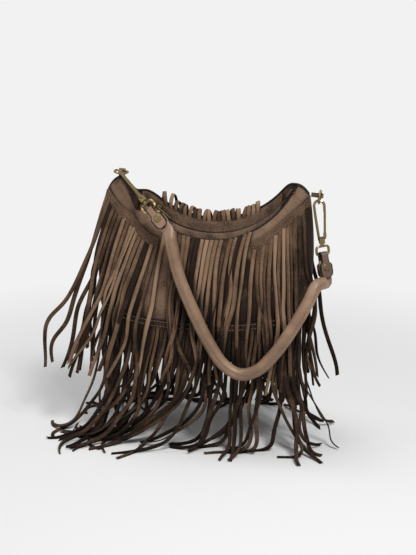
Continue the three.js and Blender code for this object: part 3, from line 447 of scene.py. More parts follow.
def loop_faces(rings: int, sides: int, closed: bool, start: int = 0) -> list[tuple[int, ...]]:
    """Faces of a tube made of rings of vertices, with flat ends where it isn't closed.

    Args:
        rings: How many rings.
        sides: Vertices in a ring.
        closed: Whether the last ring joins the first.
        start: The first vertex's number.

    Returns:
        The faces.
    """
    faces: list[tuple[int, ...]] = []
    for ring in range(rings if closed else rings - 1):
        here, there = start + ring * sides, start + ((ring + 1) % rings) * sides
        for side in range(sides):
            turn = (side + 1) % sides
            faces.append((here + side, here + turn, there + turn, there + side))
    if not closed:
        faces.append(tuple(start + side for side in reversed(range(sides))))
        faces.append(tuple(start + (rings - 1) * sides + side for side in range(sides)))
    return faces


def slab(outer: Array, inner: Array) -> tuple[Array, list[tuple[int, ...]], list[int]]:
    """A sheet with thickness between two skins of rows of points.

    Args:
        outer: The outer skin, rows by columns by three.
        inner: The inner skin, of the same shape.

    Returns:
        Points, faces, and a slot for each face: 0 on the skins and 1 on the edges.
    """
    rows, columns = outer.shape[:2]
    points = np.concatenate([outer.reshape(-1, 3), inner.reshape(-1, 3)])
    size = rows * columns
    faces, slots = [], []
    for r in range(rows - 1):
        for c in range(columns - 1):
            a, b = r * columns + c, (r + 1) * columns + c
            d, e = b + 1, a + 1
            faces += [(a, b, d, e), (size + a, size + e, size + d, size + b)]
            slots += [0, 0]
    rim = [(0, c) for c in range(columns - 1)] + [(r, columns - 1) for r in range(rows - 1)]
    rim += [(rows - 1, c) for c in range(columns - 1, 0, -1)] + [(r, 0) for r in range(rows - 1, 0, -1)]
    for k, (r, c) in enumerate(rim):
        r2, c2 = rim[(k + 1) % len(rim)]
        a, b = r * columns + c, r2 * columns + c2
        faces.append((a, b, size + b, size + a))
        slots.append(1)
    return points, faces, slots


def sweep(path: Array, wide: Array, profile: Callable[[int], Array], closed: bool) -> Array:
    """Rings of points round a path.

    Args:
        path: Points of the path.
        wide: The width direction at each point.
        profile: Gives a ring's outline as pairs of width and thickness offsets.
        closed: Whether the path joins itself.

    Returns:
        The rings, as path points by outline points by three.
    """
    before = np.roll(path, 1, axis=0)
    after = np.roll(path, -1, axis=0)
    if not closed:
        before[0], after[-1] = path[0], path[-1]
    tangent = unit(after - before)
    across = unit(wide - tangent * np.sum(wide * tangent, axis=1, keepdims=True))
    thin = np.cross(across, tangent)
    rings = []
    for i, point in enumerate(path):
        outline = profile(i)
        rings.append(point + outline[:, :1] * across[i] + outline[:, 1:] * thin[i])
    return np.array(rings)


def round_outline(radius: float, sides: int) -> Array:
    """A circle as pairs of offsets."""
    angle = np.linspace(0, 2 * math.pi, sides, endpoint=False)
    return np.stack([radius * np.cos(angle), radius * np.sin(angle)], axis=1)


def smooth_path(points: Sequence, count: int) -> Array:
    """A smooth curve through points, evenly spaced.

    Args:
        points: The points that it passes through.
        count: How many points to give back.

    Returns:
        The curve's points.
    """
    p = np.asarray(points, float)
    ext = np.vstack([2 * p[0] - p[1], p, 2 * p[-1] - p[-2]])
    knots = [0.0]
    for i in range(1, len(ext)):
        knots.append(knots[-1] + math.sqrt(float(np.linalg.norm(ext[i] - ext[i - 1]))))
    fine = []
    for i in range(1, len(ext) - 2):
        t0, t1, t2, t3 = knots[i - 1:i + 3]
        for t in np.linspace(t1, t2, 24, endpoint=False):
            a1 = (t1 - t) / (t1 - t0) * ext[i - 1] + (t - t0) / (t1 - t0) * ext[i]
            a2 = (t2 - t) / (t2 - t1) * ext[i] + (t - t1) / (t2 - t1) * ext[i + 1]
            a3 = (t3 - t) / (t3 - t2) * ext[i + 1] + (t - t2) / (t3 - t2) * ext[i + 2]
            b1 = (t2 - t) / (t2 - t0) * a1 + (t - t0) / (t2 - t0) * a2
            b2 = (t3 - t) / (t3 - t1) * a2 + (t - t1) / (t3 - t1) * a3
            fine.append((t2 - t) / (t2 - t1) * b1 + (t - t1) / (t2 - t1) * b2)
    fine.append(p[-1])
    curve = np.array(fine)
    run = run_along(curve)
    return read_off(np.linspace(0, run[-1], count), run, curve)


# Form of the filled bag


def blend_min(a: Array, b: Array, width: float) -> Array:
    """The lower of two values, rounded where they cross."""
    share = np.clip(0.5 + 0.5 * (b - a) / width, 0, 1)
    return b + (a - b) * share - width * share * (1 - share)


@dataclass(frozen=True)
class BagForm:
    """Outline and fullness of the filled bag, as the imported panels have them."""

    zip_radius: float = 0.115
    zip_x: float = 0.006
    zip_low: float = 0.2694
    front_drop: float = 0.005
    back_rise: float = 0.016
    left_ear_x: float = -0.112
    left_ear_top: float = 0.337
    right_ear_x: float = 0.11
    right_ear_top: float = 0.335
    notch_height: float = 0.303
    left_outer_fall: float = 60.0
    left_inner_fall: float = 100.0
    right_outer_fall: float = 40.0
    right_inner_fall: float = 1.5
    ear_blend: float = 0.009
    notch_blend: float = 0.022
    half_widths: tuple[float, ...] = (0.13, 0.143, 0.15, 0.084)
    centres: tuple[float, ...] = (-0.001, -0.003, -0.008, -0.008)
    front_mouth: float = 0.018
    back_mouth: float = 0.016
    ear_depth: float = 0.004
    pinch_start: float = 0.66
    pinch_end: float = 0.88
    depths: tuple[float, ...] = (0.058, 0.066, 0.036)
    shoulder_height: float = 0.226
    shoulder_follow: float = 0.45
    belly_height: float = 0.128
    base_height: float = 0.112
    plan_power: float = 2.4
    ear_power: float = 8.0
    seam_half: float = 0.00015
    thickness: float = 0.002
    shift: tuple[float, float] = (0.0, 0.0)

    @property
    def zip_centre(self) -> float:
        """Height of the centre of the zip's arc."""
        return self.zip_low + self.zip_radius

    def x_at(self, across: Array | float) -> Array | float:
        """Distance across the bag at its top edge, from -1 at the left seam to 1 at the right."""
        return self.centres[0] + self.half_widths[0] * across

    def zip_height(self, x: Array) -> Array:
        """Height of the zip's arc over a place across the bag.

        Args:
            x: Places across the bag in metres.

        Returns:
            The heights.
        """
        away = np.abs(np.asarray(x, float) - self.zip_x)
        limit = 0.96 * self.zip_radius
        inside = np.minimum(away, limit)
        return self.zip_centre - np.sqrt(self.zip_radius ** 2 - inside ** 2) + np.maximum(0, away - limit) * 4

    def outline(self, x: Array, rise: float) -> Array:
        """Height of the top outline over a place across the bag.

        Args:
            x: Places across the bag.
            rise: How far the line lies above the zip.

        Returns:
            The heights.
        """
        x = np.asarray(x, float)
        mouth = self.zip_height(x) + rise
        level = blend_min(mouth, self.notch_height + rise, self.ear_blend)
        left = x - self.left_ear_x
        left_fall = np.where(left < 0, self.left_outer_fall, self.left_inner_fall) * left ** 2
        lobe = -blend_min(-level, left_fall - self.left_ear_top, self.notch_blend)
        left_line = np.where(left < 0, self.left_ear_top - left_fall, lobe)
        right = x - self.right_ear_x
        right_fall = np.where(right > 0, self.right_outer_fall, self.right_inner_fall) * right ** 2
        right_line = blend_min(mouth, self.right_ear_top - right_fall, self.ear_blend)
        return np.where(x < self.zip_x, left_line, right_line)

    def top_edge(self, side: Side, x: Array) -> Array:
        """Height of a panel's top edge."""
        return self.outline(x, -self.front_drop if side is Side.FRONT else self.back_rise)

    def mouth_half_depth(self, side: Side, across: Array) -> Array:
        """How far a panel's top edge stands from the middle of the bag.

        Args:
            side: The panel.
            across: Places across the bag, from -1 to 1.

        Returns:
            The distances.
        """
        mouth = self.front_mouth if side is Side.FRONT else self.back_mouth
        away = np.abs(across)
        pinch = smooth_step(away, self.pinch_start, self.pinch_end)
        opening = self.ear_depth + (mouth - self.ear_depth) * (1 - away ** self.plan_power) * (1 - pinch)
        return opening * np.maximum(0, 1 - away ** self.ear_power) ** (1 / self.ear_power)

    def point(self, side: Side, across: Array, down: Array) -> Array:
        """A point on the outside of a panel.

        Args:
            side: The panel.
            across: From -1 at the left seam to 1 at the right seam.
            down: From 0 at the top edge to 1 at the base.

        Returns:
            The points in the row frame.
        """
        across, down = np.broadcast_arrays(np.asarray(across, float), np.asarray(down, float))
        s = 1 - down
        weights = (s ** 3, 3 * s * s * down, 3 * s * down * down, down ** 3)
        full = np.maximum(0, 1 - np.abs(across) ** self.plan_power) ** (1 / self.plan_power)
        columns = [c + w * across for c, w in zip(self.centres, self.half_widths)]
        top = self.top_edge(side, columns[0])
        x = sum(weight * column for weight, column in zip(weights, columns))
        y = weights[0] * self.mouth_half_depth(side, across)
        y = y + sum(weight * depth * full for weight, depth in zip(weights[1:], self.depths))
        shoulder = self.shoulder_height + self.shoulder_follow * (top - self.zip_low)
        levels = (top, shoulder, self.belly_height, self.base_height)
        z = sum(weight * level for weight, level in zip(weights, levels))
        y = side.value * np.maximum(y, self.seam_half)
        return np.stack([x + self.shift[0], y + self.shift[1], z], axis=-1)

    def normal(self, side: Side, across: Array, down: Array) -> Array:
        """The outward direction of a panel's surface.

        Args:
            side: The panel.
            across: Places across the bag, from -1 to 1.
            down: Shares of the way down the panel.

        Returns:
            The directions, one to a point.
        """
        step = 0.004
        a = np.clip(across, -0.99, 0.99)
        d = np.clip(down, step, 1 - step)
        sideways = self.point(side, a + step, d) - self.point(side, a - step, d)
        downwards = self.point(side, a, d + step) - self.point(side, a, d - step)
        normal = unit(np.cross(sideways, downwards))
        half_way = (self.zip_low + self.base_height) / 2
        heart = np.array([self.centres[2] + self.shift[0], self.shift[1], half_way])
        inwards = np.sum(normal * (self.point(side, a, d) - heart), axis=-1, keepdims=True) < 0
        return np.where(inwards, -normal, normal)

    def lifted(self, side: Side, across: Array, down: Array, lift: Array | float) -> Array:
        """A point at a distance outside a panel, kept on its own side of the seam.

        Args:
            side: The panel.
            across: Places across the bag, from -1 to 1.
            down: Shares of the way down the panel.
            lift: The distance outside the panel.

        Returns:
            The points.
        """
        across, down = np.broadcast_arrays(np.asarray(across, float), np.asarray(down, float))
        lift = np.broadcast_to(lift, across.shape)[..., None]
        point = self.point(side, across, down) + self.normal(side, across, down) * lift
        depth = np.maximum(side.value * (point[..., 1] - self.shift[1]), self.seam_half)
        point[..., 1] = side.value * depth + self.shift[1]
        return point

    def down_at(self, side: Side, across: Array, height: Array) -> Array:
        """How far down a panel a height lies.

        Args:
            side: The panel.
            across: Places across the bag, from -1 to 1.
            height: The heights in metres.

        Returns:
            Shares of the way down the panel.
        """
        across, height = np.broadcast_arrays(np.asarray(across, float), np.asarray(height, float))
        low, high = np.zeros(across.shape), np.ones(across.shape)
        for _ in range(26):
            middle = (low + high) / 2
            above = self.point(side, across, middle)[..., 2] > height
            low = np.where(above, middle, low)
            high = np.where(above, high, middle)
        return (low + high) / 2


# Strips of the fringe


@dataclass
class FormWall:
    """The body's skin as a grid of depths, for strips that lean on it."""

    form: BagForm
    step: float = 0.003
    reach: float = 0.19
    low: float = 0.1
    high: float = 0.35
    grids: dict[Side, Array] = field(default_factory=dict)

    def __post_init__(self) -> None:
        """Sample both panels."""
        self.xs = np.arange(-self.reach, self.reach, self.step)
        self.zs = np.arange(self.low, self.high, self.step)
        across = np.linspace(-1, 1, 161)
        for side in Side:
            grid = np.full((len(self.zs), len(self.xs)), -1.0)
            top = self.form.point(side, across, 0.0)[..., 2]
            for row, z in enumerate(self.zs):
                if z < self.form.base_height:
                    continue
                down = self.form.down_at(side, across, z)
                places = self.form.point(side, across, down)
                depth = side.value * (places[:, 1] - self.form.shift[1])
                depth = np.where(top > z, depth, -1.0)
                grid[row] = np.interp(self.xs, places[:, 0], depth, left=-1.0, right=-1.0)
            self.grids[side] = grid

    def push(self, side: Side, points: Array, gap: float) -> Array:
        """Move points that lie in the body out through its skin.

        Args:
            side: The panel that the points belong to.
            points: Points, any shape by three.
            gap: How far outside the skin they have to be.

        Returns:
            The moved points.
        """
        grid = self.grids[side]
        column = np.clip((points[..., 0] - self.xs[0]) / self.step, 0, len(self.xs) - 2)
        row = np.clip((points[..., 2] - self.zs[0]) / self.step, 0, len(self.zs) - 2)
        i, j = row.astype(int), column.astype(int)
        fi, fj = row - i, column - j
        a, b, c, d = grid[i, j], grid[i, j + 1], grid[i + 1, j], grid[i + 1, j + 1]
        depth = a * (1 - fi) * (1 - fj) + b * (1 - fi) * fj + c * fi * (1 - fj) + d * fi * fj
        whole = np.minimum(np.minimum(a, b), np.minimum(c, d)) > -0.5
        slope_x = ((b - a) * (1 - fi) + (d - c) * fi) / self.step
        slope_z = ((c - a) * (1 - fj) + (d - b) * fj) / self.step
        slope_x, slope_z = np.clip(slope_x, -2.5, 2.5), np.clip(slope_z, -1.5, 1.5)
        normal = np.stack([-slope_x, np.full(depth.shape, 1.0), -slope_z], axis=-1)
        length = np.linalg.norm(normal, axis=-1)
        own = side.value * (points[..., 1] - self.form.shift[1])
        inside = whole & (points[..., 2] > self.low + self.step) & (own < depth + gap * length)
        push = np.where(inside, (depth + gap * length - own) / length, 0.0)
        move = normal / length[..., None] * push[..., None]
        move[..., 1] *= side.value
        return points + move


@dataclass
class Crowd:
    """Keeps the strips' middle lines a strip's thickness apart."""

    gap: float = 0.0026
    share: float = 0.35

    def part(self, points: Array, held: Array) -> Array:
        """Push apart points of different strips that lie too close.

        Args:
            points: The strips' points, strips by links by three.
            held: Which points are held in place.

        Returns:
            The moved points.
        """
        strips, count = points.shape[:2]
        flat = points.reshape(-1, 3).copy()
        owner = np.repeat(np.arange(strips), count)
        free = ~held.reshape(-1)
        cell = np.floor(flat / self.gap).astype(np.int64)
        cell -= cell.min(axis=0)
        size = cell.max(axis=0) + 3
        key = (cell[:, 0] * size[1] + cell[:, 1]) * size[2] + cell[:, 2]
        order = np.argsort(key, kind="stable")
        sorted_key = key[order]
        move = np.zeros_like(flat)
        for dx in (-1, 0, 1):
            for dy in (-1, 0, 1):
                for dz in (-1, 0, 1):
                    near = key + (dx * size[1] + dy) * size[2] + dz
                    start = np.searchsorted(sorted_key, near)
                    for extra in range(2):
                        at = np.minimum(start + extra, len(order) - 1)
                        other = order[at]
                        match = (sorted_key[at] == near) & (owner[other] != owner)
                        gap = flat - flat[other]
                        length = np.linalg.norm(gap, axis=1)
                        match &= (length < self.gap) & (length > 1e-7)
                        scale = np.where(match, (self.gap - length) / np.maximum(length, 1e-7), 0)
                        move += gap * (scale * 0.5 * self.share)[:, None]
        flat[free] += move[free]
        return flat.reshape(points.shape)


def strip_frames(path: Array, wide: Array, twist: Array, gain: float) -> Array:
    """Width directions along strips, which turn so that a strip bends about its flat.

    Args:
        path: Strips by points by three.
        wide: Each strip's width direction at its root.
        twist: Extra turn at each point, in radians.
        gain: How strongly a bend turns the strip.

    Returns:
        The width directions.
    """
    strips, count = path.shape[:2]
    tangent = np.zeros_like(path)
    tangent[:, 1:-1] = path[:, 2:] - path[:, :-2]
    tangent[:, 0] = path[:, 1] - path[:, 0]
    tangent[:, -1] = path[:, -1] - path[:, -2]
    tangent = unit(tangent)
    bend = np.zeros_like(path)
    bend[:, 1:-1] = path[:, 2:] - 2 * path[:, 1:-1] + path[:, :-2]
    spacing = np.linalg.norm(path[:, 1:] - path[:, :-1], axis=-1).mean()
    out = np.zeros_like(path)
    current = wide.copy()
    for i in range(count):
        t = tangent[:, i]
        current = unit(current - t * np.sum(current * t, axis=1, keepdims=True))
        normal = np.cross(t, current)
        curve = bend[:, i] - t * np.sum(bend[:, i] * t, axis=1, keepdims=True)
        u, v = np.sum(curve * current, axis=1), np.sum(curve * normal, axis=1)
        flip = np.where(v < 0, -1.0, 1.0)
        angle = np.arctan2(-u * flip, np.abs(v) + 1e-12)
        weight = np.clip(np.hypot(u, v) / spacing * gain, 0, 0.35)
        turn = angle * weight + (twist[:, i] - (twist[:, i - 1] if i else 0))
        cos, sin = np.cos(turn)[:, None], np.sin(turn)[:, None]
        current = current * cos + normal * sin
        out[:, i] = current
    return out


# Bag body


@dataclass
class BodyShell:
    """The two suede panels, with their wrinkles, seams and painted top edges."""

    form: BagForm
    suede: Material
    paint: Material
    columns: int = 150
    rows: int = 64
    wrinkle: float = 0.0011
    wrinkle_count: int = 14
    wrinkle_slope: float = 1.2
    wrinkle_scales: tuple[float, float] = (5, 16)
    wrinkle_reach: float = 0.3
    wrinkle_sum: float = 3.5
    # Painted shade under the fringe: where it lies and how dark it is.
    dark_x: float = 0.002
    shade_height: float = 0.252
    shade_half: float = 0.06
    shade_slope: float = 0.98
    painted_shade_tone: float = -1.7
    bare_x: float = -0.052
    bare_half: float = 0.052
    bare_share: float = 0.85
    edge_radius: float = 0.0015
    edge_lift: float = 0.0002
    seed: int = 7

    def wrinkles(self, side: Side, across: Array, down: Array) -> Array:
        """How far the suede has sunk or risen, in metres.

        Args:
            side: The panel.
            across: Places across it.
            down: Places down it.

        Returns:
            The heights, zero at the edges.
        """
        rng = np.random.default_rng(self.seed + side.value)
        total = np.zeros(np.broadcast(across, down).shape)
        for _ in range(self.wrinkle_count):
            slope = rng.uniform(-self.wrinkle_slope, self.wrinkle_slope)
            scale = rng.uniform(*self.wrinkle_scales)
            phase = rng.uniform(0, 2 * math.pi)
            band = rng.uniform(-0.8, 0.8)
            wave = np.sin(scale * (across + slope * down) + phase)
            total += wave * np.exp(-((across - band) / self.wrinkle_reach) ** 2)
        fade = smooth_step(down, 0.0, 0.12) * smooth_step(1 - down, 0.0, 0.1)
        fade = fade * smooth_step(1 - np.abs(across), 0.0, 0.12)
        return total / self.wrinkle_sum * self.wrinkle * fade

    def shaded(self, side: Side, across: Array, down: Array) -> Array:
        """Painted shade on the suede under the fringe, mostly left off the bare patch that no strips cover.

        Args:
            side: The panel.
            across: Places across it.
            down: Places down it.

        Returns:
            The tone of the painted shade, zero where it is bare.
        """
        height = self.form.point(side, across, down)[..., 2]
        x = self.form.x_at(across)
        ramp = np.maximum(np.abs(x - self.dark_x) - self.shade_half, 0)
        under = smooth_step(self.shade_height + self.shade_slope * ramp - height, 0.0, 0.012)
        if side is Side.FRONT:
            bare = smooth_step(self.bare_half - np.abs(x - self.bare_x), 0.03, 0.04)
            under = under * (1 - self.bare_share * (bare * smooth_step(height, 0.15, 0.16)))
        return self.painted_shade_tone * under

    def build(self) -> None:
        """Make both panels with their edge paint."""
        for side, node in ((Side.FRONT, "front_panel"), (Side.BACK, "back_panel")):
            even = np.linspace(-1, 1, self.columns)
            across = (even + np.sin(math.pi / 2 * even)) / 2
            down = np.linspace(0, 1, self.rows) ** 1.15
            a, d = np.meshgrid(across, down)
            lift = self.wrinkles(side, a, d)
            outer = self.form.lifted(side, a, d, lift * 0.5)
            inner = self.form.lifted(side, a, d, -self.form.thickness)
            points, faces, slots = slab(outer, inner)
            shell = new_piece(f"{node}_suede", points, faces, [self.suede, self.paint], slots)
            # Painted shade: the stored tone darkens the suede under the fringe, where the strips shade it.
            point_values(shell, "tone", np.tile(self.shaded(side, a, d).ravel(), len(points) // a.size))
            crease_edges(shell, 50)
            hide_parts(node)
            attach(shell, "root")
            self.edge_bead(side, f"{node}_edge")

    def edge_bead(self, side: Side, name: str) -> None:
        """Make a rounded, painted edge along the top of a panel.

        Args:
            side: The panel.
            name: The piece's name.
        """
        across = np.linspace(-0.985, 0.985, 220)
        middle = self.form.lifted(side, across, np.zeros_like(across), -self.form.thickness / 2)
        middle[:, 2] += self.edge_lift
        outline = round_outline(self.edge_radius, 8)
        rings = sweep(middle, np.tile([0.0, 1.0, 0.0], (len(across), 1)), lambda i: outline, False)
        bead = new_piece(name, rings.reshape(-1, 3), loop_faces(len(across), 8, False), [self.paint])
        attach(bead, "root")


@dataclass
class StitchRow:
    """A row of short raised stitches along a line of points on the suede."""

    name: str
    body: str
    path: Array
    normal: Array
    material: Material
    length: float = 0.0026
    gap: float = 0.0014
    radius: float = 0.00045

    def build(self) -> None:
        """Make the stitches as one piece."""
        run = run_along(self.path)
        starts = np.arange(0.001, run[-1] - self.length, self.length + self.gap)
        points, faces = [], []
        outline = round_outline(self.radius, 6)
        for start in starts:
            at = start + np.linspace(0, self.length, 5)
            place = read_off(at, run, self.path)
            up = unit(read_off(at, run, self.normal))
            bow = np.sin(np.linspace(0, math.pi, 5)) * self.radius * 1.4 - self.radius * 0.6
            rings = sweep(place + up * bow[:, None], up, lambda i: outline, False)
            faces += loop_faces(5, 6, False, sum(len(p) for p in points))
            points.append(rings.reshape(-1, 3))
        row = new_piece(self.name, np.concatenate(points), faces, [self.material])
        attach(row, self.body)


@dataclass
class ZipTrim:
    """The suede beside the zip, its fine teeth and the folded tabs over its ends."""

    form: BagForm
    suede: Material
    dark: Material
    brass: Material
    tape: Material
    left_x: float = -0.087
    right_x: float = 0.093
    row_outer: float = 0.00255
    strip_inner: float = 0.00285
    strip_thickness: float = 0.0016
    # Painted shade for the strips down in the recessed mouth.
    strip_shade_tone: float = -0.7
    slider_clear: float = 0.0058
    park_from: float = 0.068
    tooth_pitch: float = 0.0023
    left_angle: float = -45.0
    right_angle: float = 54.0
    tab_spans: tuple[float, float] = (8.0, 7.0)
    tab_gap: float = 0.15
    tape_steps: int = 60
    tooth_share: float = 0.55

    def arc_point(self, degrees: float, y: float, radius: float) -> Array:
        """A point on the zip's arc.

        Args:
            degrees: The angle along the zip.
            y: The depth.
            radius: The arc's radius.

        Returns:
            The point in metres.
        """
        angle = math.radians(degrees)
        x = self.form.zip_x + radius * math.sin(angle)
        z = self.form.zip_centre - radius * math.cos(angle)
        return np.array([x + self.form.shift[0], y + self.form.shift[1], z])

    def strip(self, side: Side) -> None:
        """Make the suede strip between a panel and a row of teeth.

        Args:
            side: The panel that it belongs to.
        """
        form = self.form
        xs = np.linspace(self.left_x, self.right_x, 90)
        across = (xs - form.centres[0]) / form.half_widths[0]
        edge = form.lifted(side, across, np.zeros_like(xs), -form.thickness - 0.0006)
        depth = np.maximum(side.value * (edge[:, 1] - form.shift[1]), self.strip_inner + 0.0016)
        ridge_z = form.outline(xs, 0.0)
        share = np.linspace(0, 1, 9)[:, None]
        y = self.strip_inner + (depth - self.strip_inner) * share
        flat = np.minimum(self.slider_clear, depth - 0.0012)
        parked = smooth_step(xs, self.park_from, self.park_from + 0.012)
        beside = smooth_step((y - flat) / (depth - flat), 0.0, 1.0)
        blend = smooth_step(share, 0.15, 1.0) * (1 - parked) + beside * parked
        z = ridge_z + (edge[:, 2] - ridge_z) * blend
        x = xs + form.shift[0] + (edge[:, 0] - xs - form.shift[0]) * share
        upper = np.stack([x, side.value * y + form.shift[1], z], axis=-1)
        lower = upper - np.array([0, 0, self.strip_thickness])
        points, faces, slots = slab(upper, lower)
        node = f"zip_strip_{side.name.lower()}"
        piece = new_piece(f"{node}_suede", points, faces, [self.suede, self.tape], slots)
        # Painted shade: the zip strips sit down in the mouth, so their stored tone darkens them.
        point_values(piece, "tone", np.full(len(points), self.strip_shade_tone))
        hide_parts(node)
        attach(piece, "root")

    def teeth(self, side: Side) -> None:
        """Make one row of fine zip teeth on its tape.

        Args:
            side: The side of the zip.
        """
        radius = self.form.zip_radius
        step = math.degrees(self.tooth_pitch / radius)
        points: list[Array] = []
        faces: list[tuple[int, ...]] = []
        slots: list[int] = []

        def block(first: float, last: float, y0: float, y1: float, r0: float, r1: float, slot: int) -> None:
            """Add one block along the arc.

            Args:
                first: Its first angle along the arc.
                last: Its last angle.
                y0: Its first depth.
                y1: Its last depth.
                r0: Its inner radius.
                r1: Its outer radius.
                slot: Its material's number.
            """
            start = len(points)
            for angle in (first, last):
                for y, r in ((y0, r0), (y1, r0), (y1, r1), (y0, r1)):
                    points.append(self.arc_point(angle, side.value * y, r))
            faces.extend(loop_faces(2, 4, False, start))
            slots.extend([slot] * 6)

        edges = np.linspace(self.left_angle, self.right_angle, self.tape_steps + 1)
        for a, b in zip(edges[:-1], edges[1:]):
            block(a, b, 0.0011, self.row_outer, radius - 0.0002, radius + 0.0006, 1)
        offset = 0.0 if side is Side.FRONT else step / 2
        angle = self.left_angle + offset
        while angle + step * self.tooth_share < self.right_angle:
            block(angle, angle + step * self.tooth_share, 0.0, 0.0021, radius - 0.0008, radius + 0.0007, 0)
            angle += step
        node = f"zip_teeth_{side.name.lower()}"
        piece = new_piece(f"{node}_fine", np.array(points), faces, [self.brass, self.tape], slots, False)
        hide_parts(node)
        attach(piece, "root")

    def end_tab(self, name: str, first: float, last: float) -> None:
        """Make a folded suede tab over one end of the zip.

        Args:
            name: The CAD node that it stands for.
            first: Its first angle along the zip.
            last: Its last angle.
        """
        radius = self.form.zip_radius
        rings = []
        for share in np.linspace(0, 1, 13):
            angle = first + (last - first) * share
            close = math.sqrt(max(0.0, 1 - abs(2 * share - 1) ** 5))
            half_y = (self.row_outer + 0.0006) * (0.45 + 0.55 * close)
            top, low = radius - 0.0012 - 0.0016 * close, radius + 0.0012
            ring = []
            for turn in np.linspace(0, 2 * math.pi, 14, endpoint=False):
                y = half_y * math.cos(turn)
                r = (top + low) / 2 - (low - top) / 2 * math.sin(turn)
                ring.append(self.arc_point(angle, y, r))
            rings.append(ring)
        piece = new_piece(f"{name}_suede", np.array(rings), loop_faces(13, 14, False), [self.dark])
        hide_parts(name)
        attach(piece, "root")

    def build(self) -> None:
        """Make the strips, the teeth and the end tabs."""
        for make in (self.strip, self.teeth):
            for side in Side:
                make(side)
        left, right = self.left_angle - self.tab_gap, self.right_angle + self.tab_gap
        self.end_tab("zip_end_tab_left", left - self.tab_spans[0], left)
        self.end_tab("zip_end_tab_right", right, right + self.tab_spans[1])


# Handle


@dataclass(frozen=True)
class TabFrame:
    """Place and directions of one end of the handle, in the body's own millimetres."""

    centre: tuple[float, float, float]
    run: tuple[float, float, float]
    across: tuple[float, float, float]
    normal: tuple[float, float, float]

    def at(self, shift: Array, across: float, run: float, normal: float = 0.0) -> Array:
        """A point of the tab in metres, in the row frame."""
        point = np.array(self.centre) + np.array(self.across) * across + np.array(self.run) * run
        return (point + np.array(self.normal) * normal) * MM + shift


